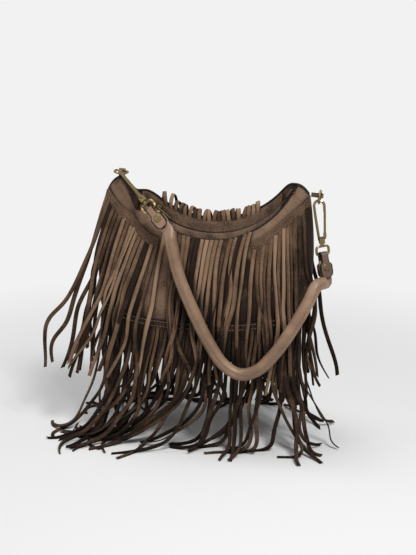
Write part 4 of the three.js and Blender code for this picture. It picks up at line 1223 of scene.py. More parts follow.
@dataclass
class RolledHandle:
    """The rolled strap with its seam ridge, and the riveted tabs that join it to the hooks' eyes."""

    shift: Array
    leather: Material
    dark: Material
    paint: Material
    thread: Material
    left: TabFrame = TabFrame((-64.0899, -39.8402, 304.1919), (0.6876, -0.3422, -0.6404),
                              (0.707, 0.1143, 0.6979), (0.1657, 0.9326, -0.3206))
    right: TabFrame = TabFrame((147.5125, -13.1953, 249.3327), (0.1812, -0.1783, -0.9671),
                               (0.8293, 0.5563, 0.0528), (-0.5286, 0.8117, -0.2487))
    middle: tuple[tuple[float, float, float], ...] = (
        (-26, -61, 229), (-6, -68, 184), (14, -72, 146), (34, -75, 119), (54, -76, 109),
        (75, -75, 115), (97, -71, 138), (118, -61, 170), (133, -50, 197), (143, -38, 217))
    radius: float = 8.0
    flat: tuple[float, float] = (7.4, 2.5)
    tab_length: float = 29.0
    tab_width: float = 17.0
    neck: tuple[float, float] = (9.6, 8.0)
    tab_leather: float = 2.2
    tab_inner: float = 2.85
    seam_angle: float = 4.1
    seam_depth: float = 0.42
    ridge_half: float = 0.16
    surface_gap: float = 0.25
    edge_drop: float = -0.35
    rings: int = 260
    sides: int = 40

    def strap_path(self) -> Array:
        """The strap's middle line.

        Returns:
            The points from the left end to the right.
        """
        shift = self.shift
        runs = (6.0, self.tab_length / 2, self.tab_length, self.tab_length + 4)
        start = [self.left.at(shift, 0, run) for run in runs]
        end = [self.right.at(shift, 0, run) for run in reversed(runs)]
        centre = [np.array(point) * MM + shift for point in self.middle]
        return smooth_path(start + centre + end, self.rings)

    def strap(self) -> None:
        """Make the rolled strap with a sewn ridge along its inner side."""
        path = self.strap_path()
        run = run_along(path)
        share = run / run[-1]
        turn = smooth_step(share, 0.2, 0.8)[:, None]
        facing = np.array(self.left.normal) * (1 - turn) + np.array(self.right.normal) * turn
        tangent = unit(np.gradient(path, axis=0))
        wide = unit(np.cross(tangent, facing))
        from_end = np.minimum(run, run[-1] - run) / MM
        swell = smooth_step(from_end, self.tab_length - 5, self.tab_length + 11)
        angle = np.linspace(0, 2 * math.pi, self.sides, endpoint=False)
        rng = np.random.default_rng(3)
        wobble = np.interp(run, np.linspace(0, run[-1], 30), rng.normal(0, 0.12, 30))

        def outline(i: int) -> Array:
            """The strap's section at one ring.

            Args:
                i: The ring's number.

            Returns:
                The section's points.
            """
            half_wide = self.flat[0] + (self.radius - self.surface_gap - self.flat[0]) * swell[i]
            half_thin = self.flat[1] + (self.radius - self.surface_gap - self.flat[1]) * swell[i]
            shape = np.stack([(half_wide + wobble[i]) * np.cos(angle),
                              (half_thin + wobble[i] * 0.5) * np.sin(angle)], axis=1)
            away = np.abs((angle - self.seam_angle + math.pi) % (2 * math.pi) - math.pi)
            groove = np.exp(-((away - self.seam_depth) / 0.12) ** 2) * 0.45
            ridge = np.exp(-(away / self.ridge_half) ** 2) * 0.8 - groove
            scale = 1 + ridge * swell[i] / self.radius
            return shape * scale[:, None] * MM

        rings = sweep(path, wide, outline, False)
        faces = loop_faces(self.rings, self.sides, False)
        strap = new_piece("handle_strap_rolled", rings.reshape(-1, 3), faces, [self.leather])
        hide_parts("handle_strap")
        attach(strap, "handle")
        slot = int(round((self.seam_angle + self.seam_depth) / (2 * math.pi) * self.sides)) % self.sides
        keep = swell > 0.98
        line = rings[keep, slot]
        StitchRow("handle_strap_stitches", "handle", line, unit(line - path[keep]), self.thread,
                  0.003, 0.0018, 0.0004).build()

    def tab(self, frame_: TabFrame, node: str, material: Material) -> None:
        """Make a leather tab folded round the eye's bar, with dark painted edges.

        Args:
            frame_: Its place.
            node: The CAD node that it stands for.
            material: Its leather.
        """
        half = self.tab_width / 2
        runs = np.concatenate([np.linspace(self.tab_length, self.tab_length - half, 12),
                               np.linspace(self.tab_length - half - 1.5, 0, 12)])
        widths, tracks_out, tracks_in = [], [], []

        def half_width(run: float) -> float:
            """Half the tab's width at a distance from the bar.

            Args:
                run: The distance from the bar.

            Returns:
                Half the width.
            """
            if run > self.tab_length - half:
                return math.sqrt(max(half ** 2 - (run - self.tab_length + half) ** 2, 0.16))
            widening = float(smooth_step(run, self.neck[1], self.neck[1] + 4))
            return self.neck[0] / 2 + (half - self.neck[0] / 2) * widening

        outer = self.tab_inner + self.tab_leather
        for run in runs:
            widths.append(half_width(run))
            tracks_out.append((run, outer))
            tracks_in.append((run, self.tab_inner))
        for degrees in np.linspace(0, -180, 15)[1:-1]:
            turn = math.radians(degrees)
            widths.append(self.neck[0] / 2)
            tracks_out.append((math.sin(turn) * outer, math.cos(turn) * outer))
            tracks_in.append((math.sin(turn) * self.tab_inner, math.cos(turn) * self.tab_inner))
        for run in runs[::-1]:
            widths.append(half_width(run))
            tracks_out.append((run, -outer))
            tracks_in.append((run, -self.tab_inner))
        columns = 11
        share = np.linspace(-1, 1, columns)
        crown = np.where(np.abs(share) > 0.85, self.edge_drop, 0.0)
        skins = []
        for track, sign in ((tracks_out, 1.0), (tracks_in, -1.0)):
            rows = []
            for i, (run, normal) in enumerate(track):
                direction = np.array([tracks_out[i][0] - tracks_in[i][0], tracks_out[i][1] - tracks_in[i][1]])
                direction = direction / max(np.linalg.norm(direction), 1e-9)
                row = []
                for c, s in enumerate(share):
                    bent = np.array([run, normal]) + direction * crown[c] * sign * 0.6
                    row.append(frame_.at(self.shift, widths[i] * s, bent[0], bent[1]))
                rows.append(row)
            skins.append(np.array(rows))
        points, faces, slots = slab(skins[0], skins[1])
        last_row = len(tracks_out) - 2
        for cell in range((last_row + 1) * (columns - 1)):
            row, column = divmod(cell, columns - 1)
            if column in (0, columns - 2) or row < 2 or row > last_row - 2:
                slots[2 * cell] = 1
        piece = new_piece(f"{node}_leather", points, faces, [material, self.paint], slots)
        crease_edges(piece, 40)
        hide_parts(node)
        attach(piece, "handle")

    def build(self) -> None:
        """Make the strap and both tabs."""
        self.strap()
        self.tab(self.left, "handle_tab_left", self.leather)
        # Painted shade: the right tab takes a darker copy of the tab leather.
        self.tab(self.right, "handle_tab_right", self.dark)


# Ear loops


@dataclass
class EarLoop:
    """A folded suede loop that holds a ring at an ear."""

    node: str
    centre: Array
    fold_axis: Array
    run: Array
    width: float
    inner: float
    length: float
    suede: Material
    paint: Material
    leather: float = 0.0014
    leaf_gap: float = 0.0006
    bow_clear: float = 0.002

    def build(self) -> None:
        """Make the loop."""
        across = unit(np.cross(self.fold_axis, self.run))
        neck = self.leaf_gap / 2
        share = np.linspace(-0.5, 0.5, 7)
        mouth = self.inner + self.leather + self.bow_clear
        skins = []
        for radius, offset in ((self.inner + self.leather, neck + self.leather), (self.inner, neck)):
            track = [(run, offset) for run in np.linspace(self.length, mouth, 7)]
            track += [(-math.sin(a) * radius, math.cos(a) * radius) for a in np.linspace(0.0, math.pi, 17)]
            track += [(run, -offset) for run in np.linspace(mouth, self.length, 7)]
            rows = [self.centre + self.run * run + across * off for run, off in track]
            skins.append(np.array([[row + self.fold_axis * self.width * s for s in share] for row in rows]))
        points, faces, slots = slab(skins[0], skins[1])
        piece = new_piece(f"{self.node}_suede", points, faces, [self.suede, self.paint], slots)
        crease_edges(piece, 50)
        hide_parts(self.node)
        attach(piece, "root")


# Fringe


@dataclass(frozen=True)
class FringeTier:
    """Sizes of one tier of strips, as they are cut."""

    tier: Tier
    pitch: float
    header_height: float
    header_offset: float
    strip_width: float
    band_tone: float
    strip_thickness: float = 0.0013


@dataclass
class StripPlan:
    """One strip before it falls: where it starts, how it leans and how it lies on the floor."""

    tier: Tier
    start: Array
    heading: Array
    wide: Array
    length: float
    lean: Array
    floor_turn: float
    floor_curl: float
    wave: float
    layer: float
    width: float
    tone: float
    lead: Array | None = None

@dataclass(frozen=True)
class UpperHang:
    """How upper strips leave the body and fall. Places run from -1 at the left seam to 1 at the right,
    leans are per unit of drop, and lengths are in metres."""

    places: tuple[float, ...] = (-1.0, -0.8, -0.5, -0.38, -0.34, -0.2, 0.0, 0.4, 0.7, 0.85, 1.0)
    front_lean: tuple[float, ...] = (-0.22, -0.27, -0.26, -0.15, 0.01, -0.03, -0.1, -0.1, -0.02, 0.07, 0.16)
    back_lean: tuple[float, ...] = (-0.2, -0.22, -0.2, -0.15, -0.13, -0.06, -0.02, 0.02, 0.05, 0.1, 0.16)
    flare_places: tuple[float, ...] = (-1.0, -0.75, -0.45, 0.6, 1.0)
    flare: tuple[float, ...] = (0.03, 0.09, 0.05, 0.0, 0.1)
    root_lift: float = 0.0017
    kick: float = 0.3
    left_kick_loss: float = 0.2
    least_kick: float = 0.05
    slack: float = 1.09
    crest_span: tuple[float, float] = (-0.058, 0.064)
    strap_span: tuple[float, float] = (-0.1, 0.6)
    under_strap: tuple[float, float] = (0.004, 0.69)
    free: tuple[float, float] = (0.008, 1.0)
    tone: float = 0.3
    tone_spread: float = 1.15
    right_shade: float = 1.2


@dataclass(frozen=True)
class LowerHang:
    """How lower strips fall and lie on the floor, in the same terms."""

    places: tuple[float, ...] = (-1, -0.5, 0.2, 0.55, 0.8, 1)
    front_sweep: tuple[float, ...] = (0.32, 0.55, 0.6, 0.44, 0.0, -0.3)
    back_sweep: float = 0.12
    root_lift: float = 0.0013
    back_spread: float = 0.24
    heading_out: float = 0.06
    straight_span: tuple[float, float] = (0.36, 0.47)
    stray_index: int = 3
    right_from: float = 0.8
    curly_from: float = -0.55
    # Painted shade: the lower tier's tone is set darker, and held below lightest, for the shade under the
    # upper tier.
    tone: float = -0.9
    tone_spread: float = 0.9
    lightest: float = -0.2
@dataclass
class FringeSide:
    """Both tiers of fringe on one face of the bag."""

    form: BagForm
    wall: FormWall
    side: Side
    suede: Material
    edge: Material
    thread: Material
    upper: FringeTier = FringeTier(Tier.UPPER, 0.0062, 0.012, 0.0009, 0.0054, -0.5)
    # Painted shade: the lower tier's band tone is set darker for the shade under the upper strips.
    lower: FringeTier = FringeTier(Tier.LOWER, 0.0058, 0.012, 0.0006, 0.0053, -1.2)
    end_across: float = 0.965
    root_height: float = 0.262
    root_flat_half: float = 0.064
    root_slope: float = 0.98
    root_x: float = 0.002
    root_blend: float = 0.014
    back_drop: float = 0.003
    bare_half: float = 0.057
    lower_root: float = 0.166
    lower_rise: float = 0.018
    upper_end: float = 0.088
    links: int = 46
    rings: int = 76
    growth_steps: int = 90
    parting_steps: int = 48
    seed: int = 11
    floor_gap: float = 0.0012
    limits: tuple[tuple[float, float], ...] = ((-0.193, 0.193), (-0.122, 0.122))
    above: UpperHang = UpperHang()
    below: LowerHang = LowerHang()
    # Painted shade: how much strips darken towards their ends, and the floor of that darkening.
    end_shade: float = 0.9
    deepest_shade: float = -1.3
    header_rows: int = 7
    stitched_rows: tuple[int, int] = (1, 4)
    wave_across: float = 0.2
    wave_out: float = 0.12
    floor_sink: float = -0.12
    floor_reach: float = 0.026
    turn_rate: float = 0.16
    floor_turn_rate: float = 0.1
    skin_gap: float = 0.0012
    twist_spread: float = 0.24
    bend_gain: float = 0.006
    tip_narrowing: float = 0.16
    tip_slant: float = 0.0016
    lowest: float = 0.0001

    def upper_root(self, across: Array) -> Array:
        """Height of the line that the upper tier hangs from.

        Args:
            across: Places across the bag, from -1 to 1.

        Returns:
            The heights.
        """
        x = self.form.x_at(np.asarray(across, float))
        away = np.abs(x - self.root_x) - self.root_flat_half
        ramp = (away + np.sqrt(away ** 2 + self.root_blend ** 2)) / 2
        line = self.root_height + self.root_slope * ramp
        edge = self.form.top_edge(self.side, x) - self.back_drop
        if self.side is Side.BACK:
            line = line + self.form.back_rise
        return np.minimum(edge, line)

    def root_of(self, tier: Tier, across: Array) -> Array:
        """Height of a tier's root line.

        Args:
            tier: The tier.
            across: Places across the bag, from -1 to 1.

        Returns:
            The heights.
        """
        if tier is Tier.UPPER:
            return self.upper_root(across)
        return self.lower_root + self.lower_rise * np.abs(across) ** 3

    def places(self, tier: FringeTier) -> Array:
        """Places of the strips across the bag, evenly spaced along the header.

        Args:
            tier: The tier.

        Returns:
            The places, from -1 to 1.
        """
        line = np.linspace(-self.end_across, self.end_across, 400)
        down = self.form.down_at(self.side, line, self.root_of(tier.tier, line))
        points = self.form.point(self.side, line, down)
        run = run_along(points)
        count = int(run[-1] / tier.pitch)
        return np.interp(run[-1] * (np.arange(count) + 0.5) / count, run, line)

    def skin(self, across: float, height: float, lift: float) -> tuple[Array, Array, Array]:
        """A place on the body with its outward normal and its level direction to the right.

        Args:
            across: Its place across the bag.
            height: Its height.
            lift: How far outside the skin it lies.

        Returns:
            The place and the two directions.
        """
        a = np.array([across])
        down = self.form.down_at(self.side, a, np.array([height]))
        normal = self.form.normal(self.side, a, down)[0]
        ends = self.form.point(self.side, np.array([across - 0.01, across + 0.01]), down)
        return self.form.lifted(self.side, a, down, lift)[0], normal, unit(ends[1] - ends[0])

    def lean_of(self, across: float) -> float:
        """How far to the right an upper strip drifts while it falls, per unit of drop."""
        table = self.above.front_lean if self.side is Side.FRONT else self.above.back_lean
        return float(np.interp(across, self.above.places, table))

    def rim(self, across: float) -> float:
        """Height of the panel's top edge at a place."""
        return float(self.form.top_edge(self.side, np.array([self.form.x_at(across)]))[0])

    def upper_plan(self, across: float, clump: Array, rng: np.random.Generator) -> StripPlan:
        """Plan one strip of the upper tier.

        Args:
            across: Its place.
            clump: The lean and lift that it shares with its neighbours.
            rng: The source of its own variation.

        Returns:
            The plan.
        """
        tier, hang = self.upper, self.above
        root = float(self.root_of(Tier.UPPER, np.array([across]))[0])
        front = self.side is Side.FRONT
        x = self.form.x_at(across)
        high = root - 0.001 - (tier.header_height - 0.003)
        if front and abs(x - self.root_x) < self.bare_half:
            high = self.rim(across) - 0.001
        start, normal, wide = self.skin(across, high, hang.root_lift)
        kick = hang.kick - hang.left_kick_loss * smooth_step(np.array(-across), 0.85, 0.97)
        kick = kick + 0.12 * clump[1] + rng.normal(0, 0.07)
        down = np.array([min(1.3 * self.lean_of(across), 0.02), 0.0, -1.0])
        heading = unit(down + normal * max(float(kick), hang.least_kick))
        drift = self.lean_of(across) + 0.045 * clump[0] + rng.normal(0, 0.02)
        flare = float(np.interp(across, hang.flare_places, hang.flare))
        lean = np.array([drift, 0.0, 0.0]) + level_out(normal) * flare
        end = self.upper_end + 0.016 * max(0.0, -across) + rng.normal(0, 0.006)
        length = (high - end) * math.sqrt(1 + float(lean @ lean)) * hang.slack
        under_strap = front and hang.strap_span[0] < across < hang.strap_span[1]
        layer, calm = hang.under_strap if under_strap else hang.free
        lead = None
        if not front and hang.crest_span[0] < x < hang.crest_span[1]:
            lead = self.crest(across, rng)
            start, heading, length = lead[-1], unit(lead[-1] - lead[-2]), length + 0.004
        wave = calm * rng.uniform(0.5, 1.3)
        width = tier.strip_width * rng.uniform(0.9, 1.08)
        tone = hang.tone + rng.normal(0, hang.tone_spread)
        tone = tone - hang.right_shade * max(0.0, (across - 0.8) / 0.2)
        return StripPlan(Tier.UPPER, start, heading, wide, length, lean, 0.0, 0.0, wave, layer, width, tone,
                         lead)

    def crest(self, across: float, rng: np.random.Generator) -> Array:
        """The arch of a back strip, which stands up inside the panel's edge and falls over the back.

        Args:
            across: The strip's place.
            rng: The source of its variation.

        Returns:
            Points of the arch.
        """
        edge, normal, _ = self.skin(across, self.rim(across) - 0.0005, 0.0)
        out = level_out(normal)
        base = edge - out * 0.0046
        tall = -0.5 < across < -0.3 and rng.random() < 0.5
        rise = rng.uniform(0.014, 0.017) if tall else rng.uniform(0.0095, 0.011)
        reach = rng.uniform(0.006, 0.0075)
        turn = np.linspace(0, math.pi * 0.97, 16)
        points = base + out * ((1 - np.cos(turn)) * reach)[:, None]
        points[:, 2] += np.sin(turn) * rise
        points[:, 0] += rng.normal(0, 0.0015) * turn
        foot = base - np.array([0.0, 0.0, 0.006])
        return np.vstack([foot, points])

    def lower_plan(self, across: float, index: int, clump: Array, rng: np.random.Generator) -> StripPlan:
        """Plan one strip of the lower tier.

        Args:
            across: Its place.
            index: Its number from the left.
            clump: The lean and lift that it shares with its neighbours.
            rng: The source of its own variation.

        Returns:
            The plan.
        """
        tier, hang = self.lower, self.below
        root = float(self.root_of(Tier.LOWER, np.array([across]))[0])
        high = root - tier.header_height + 0.002
        start, normal, wide = self.skin(across, high, hang.root_lift)
        out = level_out(normal)
        front = self.side is Side.FRONT
        sweep = float(np.interp(across, hang.places, hang.front_sweep)) if front else hang.back_sweep
        spread = 0.06 + 0.1 * max(across, 0.0) if front else hang.back_spread
        spread = spread + 0.06 * clump[1] + rng.normal(0, 0.04)
        left = sweep + 0.17 * clump[0] + rng.normal(0, 0.05)
        turn = math.pi if front else math.pi * 0.9
        turn += rng.normal(0.12 if front else -0.3, 0.35)
        extra = rng.uniform(0.012, 0.05)
        wave = rng.uniform(0.9, 2.1)
        if front and hang.straight_span[0] < across < hang.straight_span[1]:
            left, turn, extra, wave = 0.02, math.pi * 1.5, 0.02, 0.3
        if across > hang.right_from:
            turn, extra = (-0.5 if front else 0.3) + rng.normal(0, 0.5), rng.uniform(0.01, 0.03)
        if front and index == hang.stray_index:
            turn, extra, wave = math.pi * 1.12, 0.055, 0.2
        lean = out * spread + np.array([-left, 0.0, 0.0])
        curl = rng.normal(0, 16) + (rng.normal(0, 26) if across < hang.curly_from else 0.0)
        length = high * math.sqrt(1 + float(lean @ lean)) + extra
        heading = unit(np.array([0, 0, -1.0]) + out * hang.heading_out)
        width = tier.strip_width * rng.uniform(0.88, 1.08)
        tone = min(hang.tone + rng.normal(0, hang.tone_spread), hang.lightest)
        return StripPlan(Tier.LOWER, start, heading, wide, length, lean, turn, curl, wave, 0.0, width, tone)

    def gaps(self, plans: list[StripPlan], heights: Array) -> Array:
        """How far strips have to keep from the body at given heights.

        Args:
            plans: The strips' plans.
            heights: The heights, one to a strip.

        Returns:
            The distances.
        """
        layer = np.array([plan.layer for plan in plans])
        layer = layer.reshape((-1,) + (1,) * (heights.ndim - 1))
        return self.skin_gap + layer * smooth_step(0.19 - heights, 0.0, 0.03)

    def grow(self, plans: list[StripPlan], rng: np.random.Generator) -> Array:
        """Let each strip fall from its root, lean, wave and turn along the floor.

        Args:
            plans: The strips' plans.
            rng: The source of their waves.

        Returns:
            Their paths, strips by links by three.
        """
        count = len(plans)
        steps = self.growth_steps
        stride = np.array([plan.length for plan in plans]) / steps
        p = np.array([plan.start for plan in plans])
        t = np.array([plan.heading for plan in plans])
        lean = np.array([plan.lean for plan in plans])
        wave = np.array([plan.wave for plan in plans])
        turn = np.array([plan.floor_turn for plan in plans])
        curl = np.array([plan.floor_curl for plan in plans])
        lower = np.array([plan.tier is Tier.LOWER for plan in plans])
        right = lean[:, 0] > 0.03
        knots = np.linspace(0, steps, 9)
        noise = rng.normal(0, 1, (count, len(knots), 2))
        along = np.arange(steps)
        waves = np.array([[np.interp(along, knots, noise[i, :, k]) for k in range(2)] for i in range(count)])
        on_floor = np.zeros(count)
        path = [p.copy()]
        for step in range(steps):
            started = smooth_step(np.array(step / steps), 0.05, 0.35) * (0.5 + 1.5 * step / steps)
            late = np.where(right, smooth_step(0.21 - p[:, 2], 0.0, 0.07), 1.0)
            grows = np.where(lower, 0.35 + 1.5 * smooth_step(0.1 - p[:, 2], 0.0, 0.08), late)
            want = lean * np.stack([grows, np.ones(count), np.ones(count)], axis=1)
            want[:, 2] = -1.0
            want[:, 0] += self.wave_across * wave * waves[:, 0, step] * started
            want[:, 1] += self.wave_out * wave * waves[:, 1, step] * started
            near = np.where(lower, smooth_step(self.floor_reach - p[:, 2], 0.0, 0.022), 0.0)
            on_floor += near * stride
            angle = turn + curl * on_floor + 0.5 * waves[:, 1, step] * near
            flat = np.stack([np.cos(angle), np.sin(angle), np.full(count, self.floor_sink)], axis=1)
            want = unit(unit(want) * (1 - near[:, None]) + flat * near[:, None])
            t = unit(t + (want - t) * (self.turn_rate + self.floor_turn_rate * near[:, None]))
            p = p + t * stride[:, None]
            p = self.wall.push(self.side, p, self.gaps(plans, p[:, 2]))
            p[:, 2] = np.maximum(p[:, 2], self.floor_gap)
            path.append(p.copy())
        paths = np.stack(path, axis=1)
        links = np.zeros((count, self.links, 3))
        for i, plan in enumerate(plans):
            whole = paths[i] if plan.lead is None else np.vstack([plan.lead[:-1], paths[i]])
            run = run_along(whole)
            links[i] = read_off(np.linspace(0, run[-1], self.links), run, whole)
        return links

    def part_strips(self, plans: list[StripPlan], points: Array) -> Array:
        """Move strips that meet apart, and keep their lengths and bends.

        Args:
            plans: The strips' plans.
            points: Their paths.

        Returns:
            The parted paths.
        """
        pinned = np.array([2 if plan.lead is None else self.links // 5 for plan in plans])
        held = (np.arange(self.links)[None] < pinned[:, None])[..., None]
        start = points.copy()
        bend = start[:, 1:-1] - (start[:, :-2] + start[:, 2:]) / 2
        rest = np.linalg.norm(np.diff(start, axis=1), axis=-1, keepdims=True)
        crowd = Crowd()
        p = points.copy()
        steps = self.parting_steps
        for _ in range(steps):
            p = crowd.part(p, held[..., 0])
            for _ in range(3):
                off = ((p[:, :-2] + p[:, 2:]) / 2 + bend - p[:, 1:-1]) * 0.5
                q = p.copy()
                q[:, 1:-1] += off * 0.5
                q[:, :-2] -= off * 0.25
                q[:, 2:] -= off * 0.25
                for first in (0, 1):
                    a, b = q[:, first:-1:2], q[:, first + 1::2]
                    n = min(a.shape[1], b.shape[1])
                    gap = b[:, :n] - a[:, :n]
                    length = np.maximum(np.linalg.norm(gap, axis=-1, keepdims=True), 1e-9)
                    fix = gap / length * (length - rest[:, first:first + 2 * n:2]) * 0.5
                    q[:, first:first + 2 * n:2] += fix
                    q[:, first + 1:first + 1 + 2 * n:2] -= fix
                q = self.wall.push(self.side, q, self.gaps(plans, q[..., 2]))
                q[..., 2] = np.maximum(q[..., 2], self.floor_gap)
                for axis, (low, high) in enumerate(self.limits):
                    q[..., axis] = np.clip(q[..., axis], low, high)
                p = np.where(held, start, q)
        return p

    def ribbons(self, name: str, lines: Array, plans: list[StripPlan], nodes: Sequence[str],
                rng: np.random.Generator) -> None:
        """Draw strips as thick ribbons in one piece.

        Args:
            name: The piece's name.
            lines: Their middle lines.
            plans: Their plans.
            nodes: The CAD nodes that they stand for.
            rng: The source of their twists.
        """
        count = len(plans)
        at = np.linspace(0, 1, self.rings)
        source = np.linspace(0, 1, self.links)
        smooth = np.array([[np.interp(at, source, lines[i, :, k]) for k in range(3)] for i in range(count)])
        smooth = smooth.transpose(0, 2, 1)
        for _ in range(4):
            smooth[:, 1:-1] = smooth[:, 1:-1] * 0.5 + (smooth[:, :-2] + smooth[:, 2:]) * 0.25
        knots = np.linspace(0, 1, 6)
        turns = rng.normal(0, self.twist_spread, (count, 5)).cumsum(axis=1)
        twist = np.array([np.interp(at, knots, np.concatenate([[0], turn])) for turn in turns])
        wide = np.array([plan.wide for plan in plans])
        across = strip_frames(smooth, wide, twist, self.bend_gain)
        profile = np.array([(-0.5, -0.25), (-0.45, -0.5), (0.0, -0.5), (0.45, -0.5), (0.5, -0.25),
                            (0.5, 0.25), (0.45, 0.5), (0.0, 0.5), (-0.45, 0.5), (-0.5, 0.25)])
        sides = len(profile)
        edge_sides = (0, 3, 4, 5, 8, 9)
        points, faces, slots, tones = [], [], [], []
        thickness = self.upper.strip_thickness
        for i, plan in enumerate(plans):
            tangent = unit(np.gradient(smooth[i], axis=0))
            side = unit(across[i] - tangent * np.sum(across[i] * tangent, axis=1, keepdims=True))
            thin = np.cross(side, tangent)
            cup = rng.uniform(-0.5, 0.5) * thickness
            ripple = 0.05 * np.sin(at * rng.uniform(6, 16) + rng.uniform(0, 6))
            taper = 1 - self.tip_narrowing * smooth_step(at, 0.8, 1.0) + ripple
            u = profile[None, :, :1] * plan.width * taper[:, None, None]
            v = profile[None, :, 1:] * thickness + cup * (1 - (2 * profile[None, :, :1]) ** 2)
            rings = smooth[i][:, None] + side[:, None] * u + thin[:, None] * v
            rings[-1] += tangent[-1] * (profile[:, :1] * 2 * rng.normal(0, self.tip_slant))
            rings[..., 2] = np.maximum(rings[..., 2], self.lowest)
            new = loop_faces(self.rings, sides, False, i * self.rings * sides)
            points.append(rings.reshape(-1, 3))
            faces += new
            strip_faces = (self.rings - 1) * sides
            slots += [1 if n < strip_faces and n % sides in edge_sides else 0 for n in range(len(new))]
            # Painted shade: each strip's tone darkens from a third of the way along to its end, down to a set
            # floor.
            fade = plan.tone - self.end_shade * smooth_step(at, 0.35, 1.0)
            fade = np.maximum(fade, min(plan.tone, self.deepest_shade))
            tones.append(np.repeat(fade, sides))
        piece = new_piece(name, np.concatenate(points), faces, [self.suede, self.edge], slots)
        point_values(piece, "tone", np.concatenate(tones))
        crease_edges(piece, 60)
        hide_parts(*nodes)
        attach(piece, "root")

    def header(self, tier: FringeTier) -> None:
        """Make the stitched band that a tier is slit from.

        Args:
            tier: The tier.
        """
        whole = np.linspace(-self.end_across - 0.008, self.end_across + 0.008, 260)
        parts = {"": whole}
        if self.side is Side.FRONT and tier.tier is Tier.UPPER:
            x = self.form.x_at(whole) - self.root_x
            parts = {"_left": whole[x < -self.bare_half], "_right": whole[x > self.bare_half]}
        for part, across in parts.items():
            self.header_part(tier, part, across)

    def header_part(self, tier: FringeTier, part: str, across: Array) -> None:
        """Make one run of a tier's band with its stitches.

        Args:
            tier: The tier.
            part: What its name ends with.
            across: The places that it runs through.
        """
        root = self.root_of(tier.tier, across)
        inner, outer, ups = [], [], []
        for drop in np.linspace(0, tier.header_height, self.header_rows):
            down = self.form.down_at(self.side, across, root - drop)
            inner.append(self.form.lifted(self.side, across, down, tier.header_offset))
            swell = 0.0003 * math.sin(math.pi * drop / tier.header_height)
            outer.append(self.form.lifted(self.side, across, down,
                                          tier.header_offset + tier.strip_thickness + swell))
            ups.append(self.form.normal(self.side, across, down))
        points, faces, slots = slab(np.array(outer), np.array(inner))
        name = f"fringe_{tier.tier.value}_{self.side.name.lower()}_header{part}"
        band = new_piece(name, points, faces, [self.suede, self.edge], slots)
        point_values(band, "tone", np.full(len(band.data.vertices), tier.band_tone))
        crease_edges(band, 50)
        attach(band, "root")
        for number, row in enumerate(self.stitched_rows):
            StitchRow(f"{name}_stitches_{number}", "root", outer[row], ups[row], self.thread).build()

    def clumps(self, count: int, rng: np.random.Generator) -> Array:
        """Leans and lifts that neighbouring strips share.

        Args:
            count: How many strips there are.
            rng: The source of the draws.

        Returns:
            A lean and a lift for each strip.
        """
        knots = np.linspace(0, count, max(4, count // 4))
        at = np.arange(count)
        return np.stack([np.interp(at, knots, rng.normal(0, 1, len(knots))) for _ in range(2)], axis=1)

    def build(self) -> None:
        """Make both tiers."""
        rng = np.random.default_rng(self.seed + self.side.value)
        high, low = self.places(self.upper), self.places(self.lower)
        high_clumps, low_clumps = self.clumps(len(high), rng), self.clumps(len(low), rng)
        plans = [self.upper_plan(float(a), high_clumps[i], rng) for i, a in enumerate(high)]
        plans += [self.lower_plan(float(a), i, low_clumps[i], rng) for i, a in enumerate(low)]
        lines = self.part_strips(plans, self.grow(plans, rng))
        for tier in (self.upper, self.lower):
            chosen = [i for i, plan in enumerate(plans) if plan.tier is tier.tier]
            comb = f"fringe_{tier.tier.value}_{self.side.name.lower()}"
            nodes = [f"{comb}_{part}" for part in ("left", "centre", "right")]
            self.ribbons(f"{comb}_strips", lines[chosen], [plans[i] for i in chosen], nodes, rng)
            self.header(tier)


# Setting


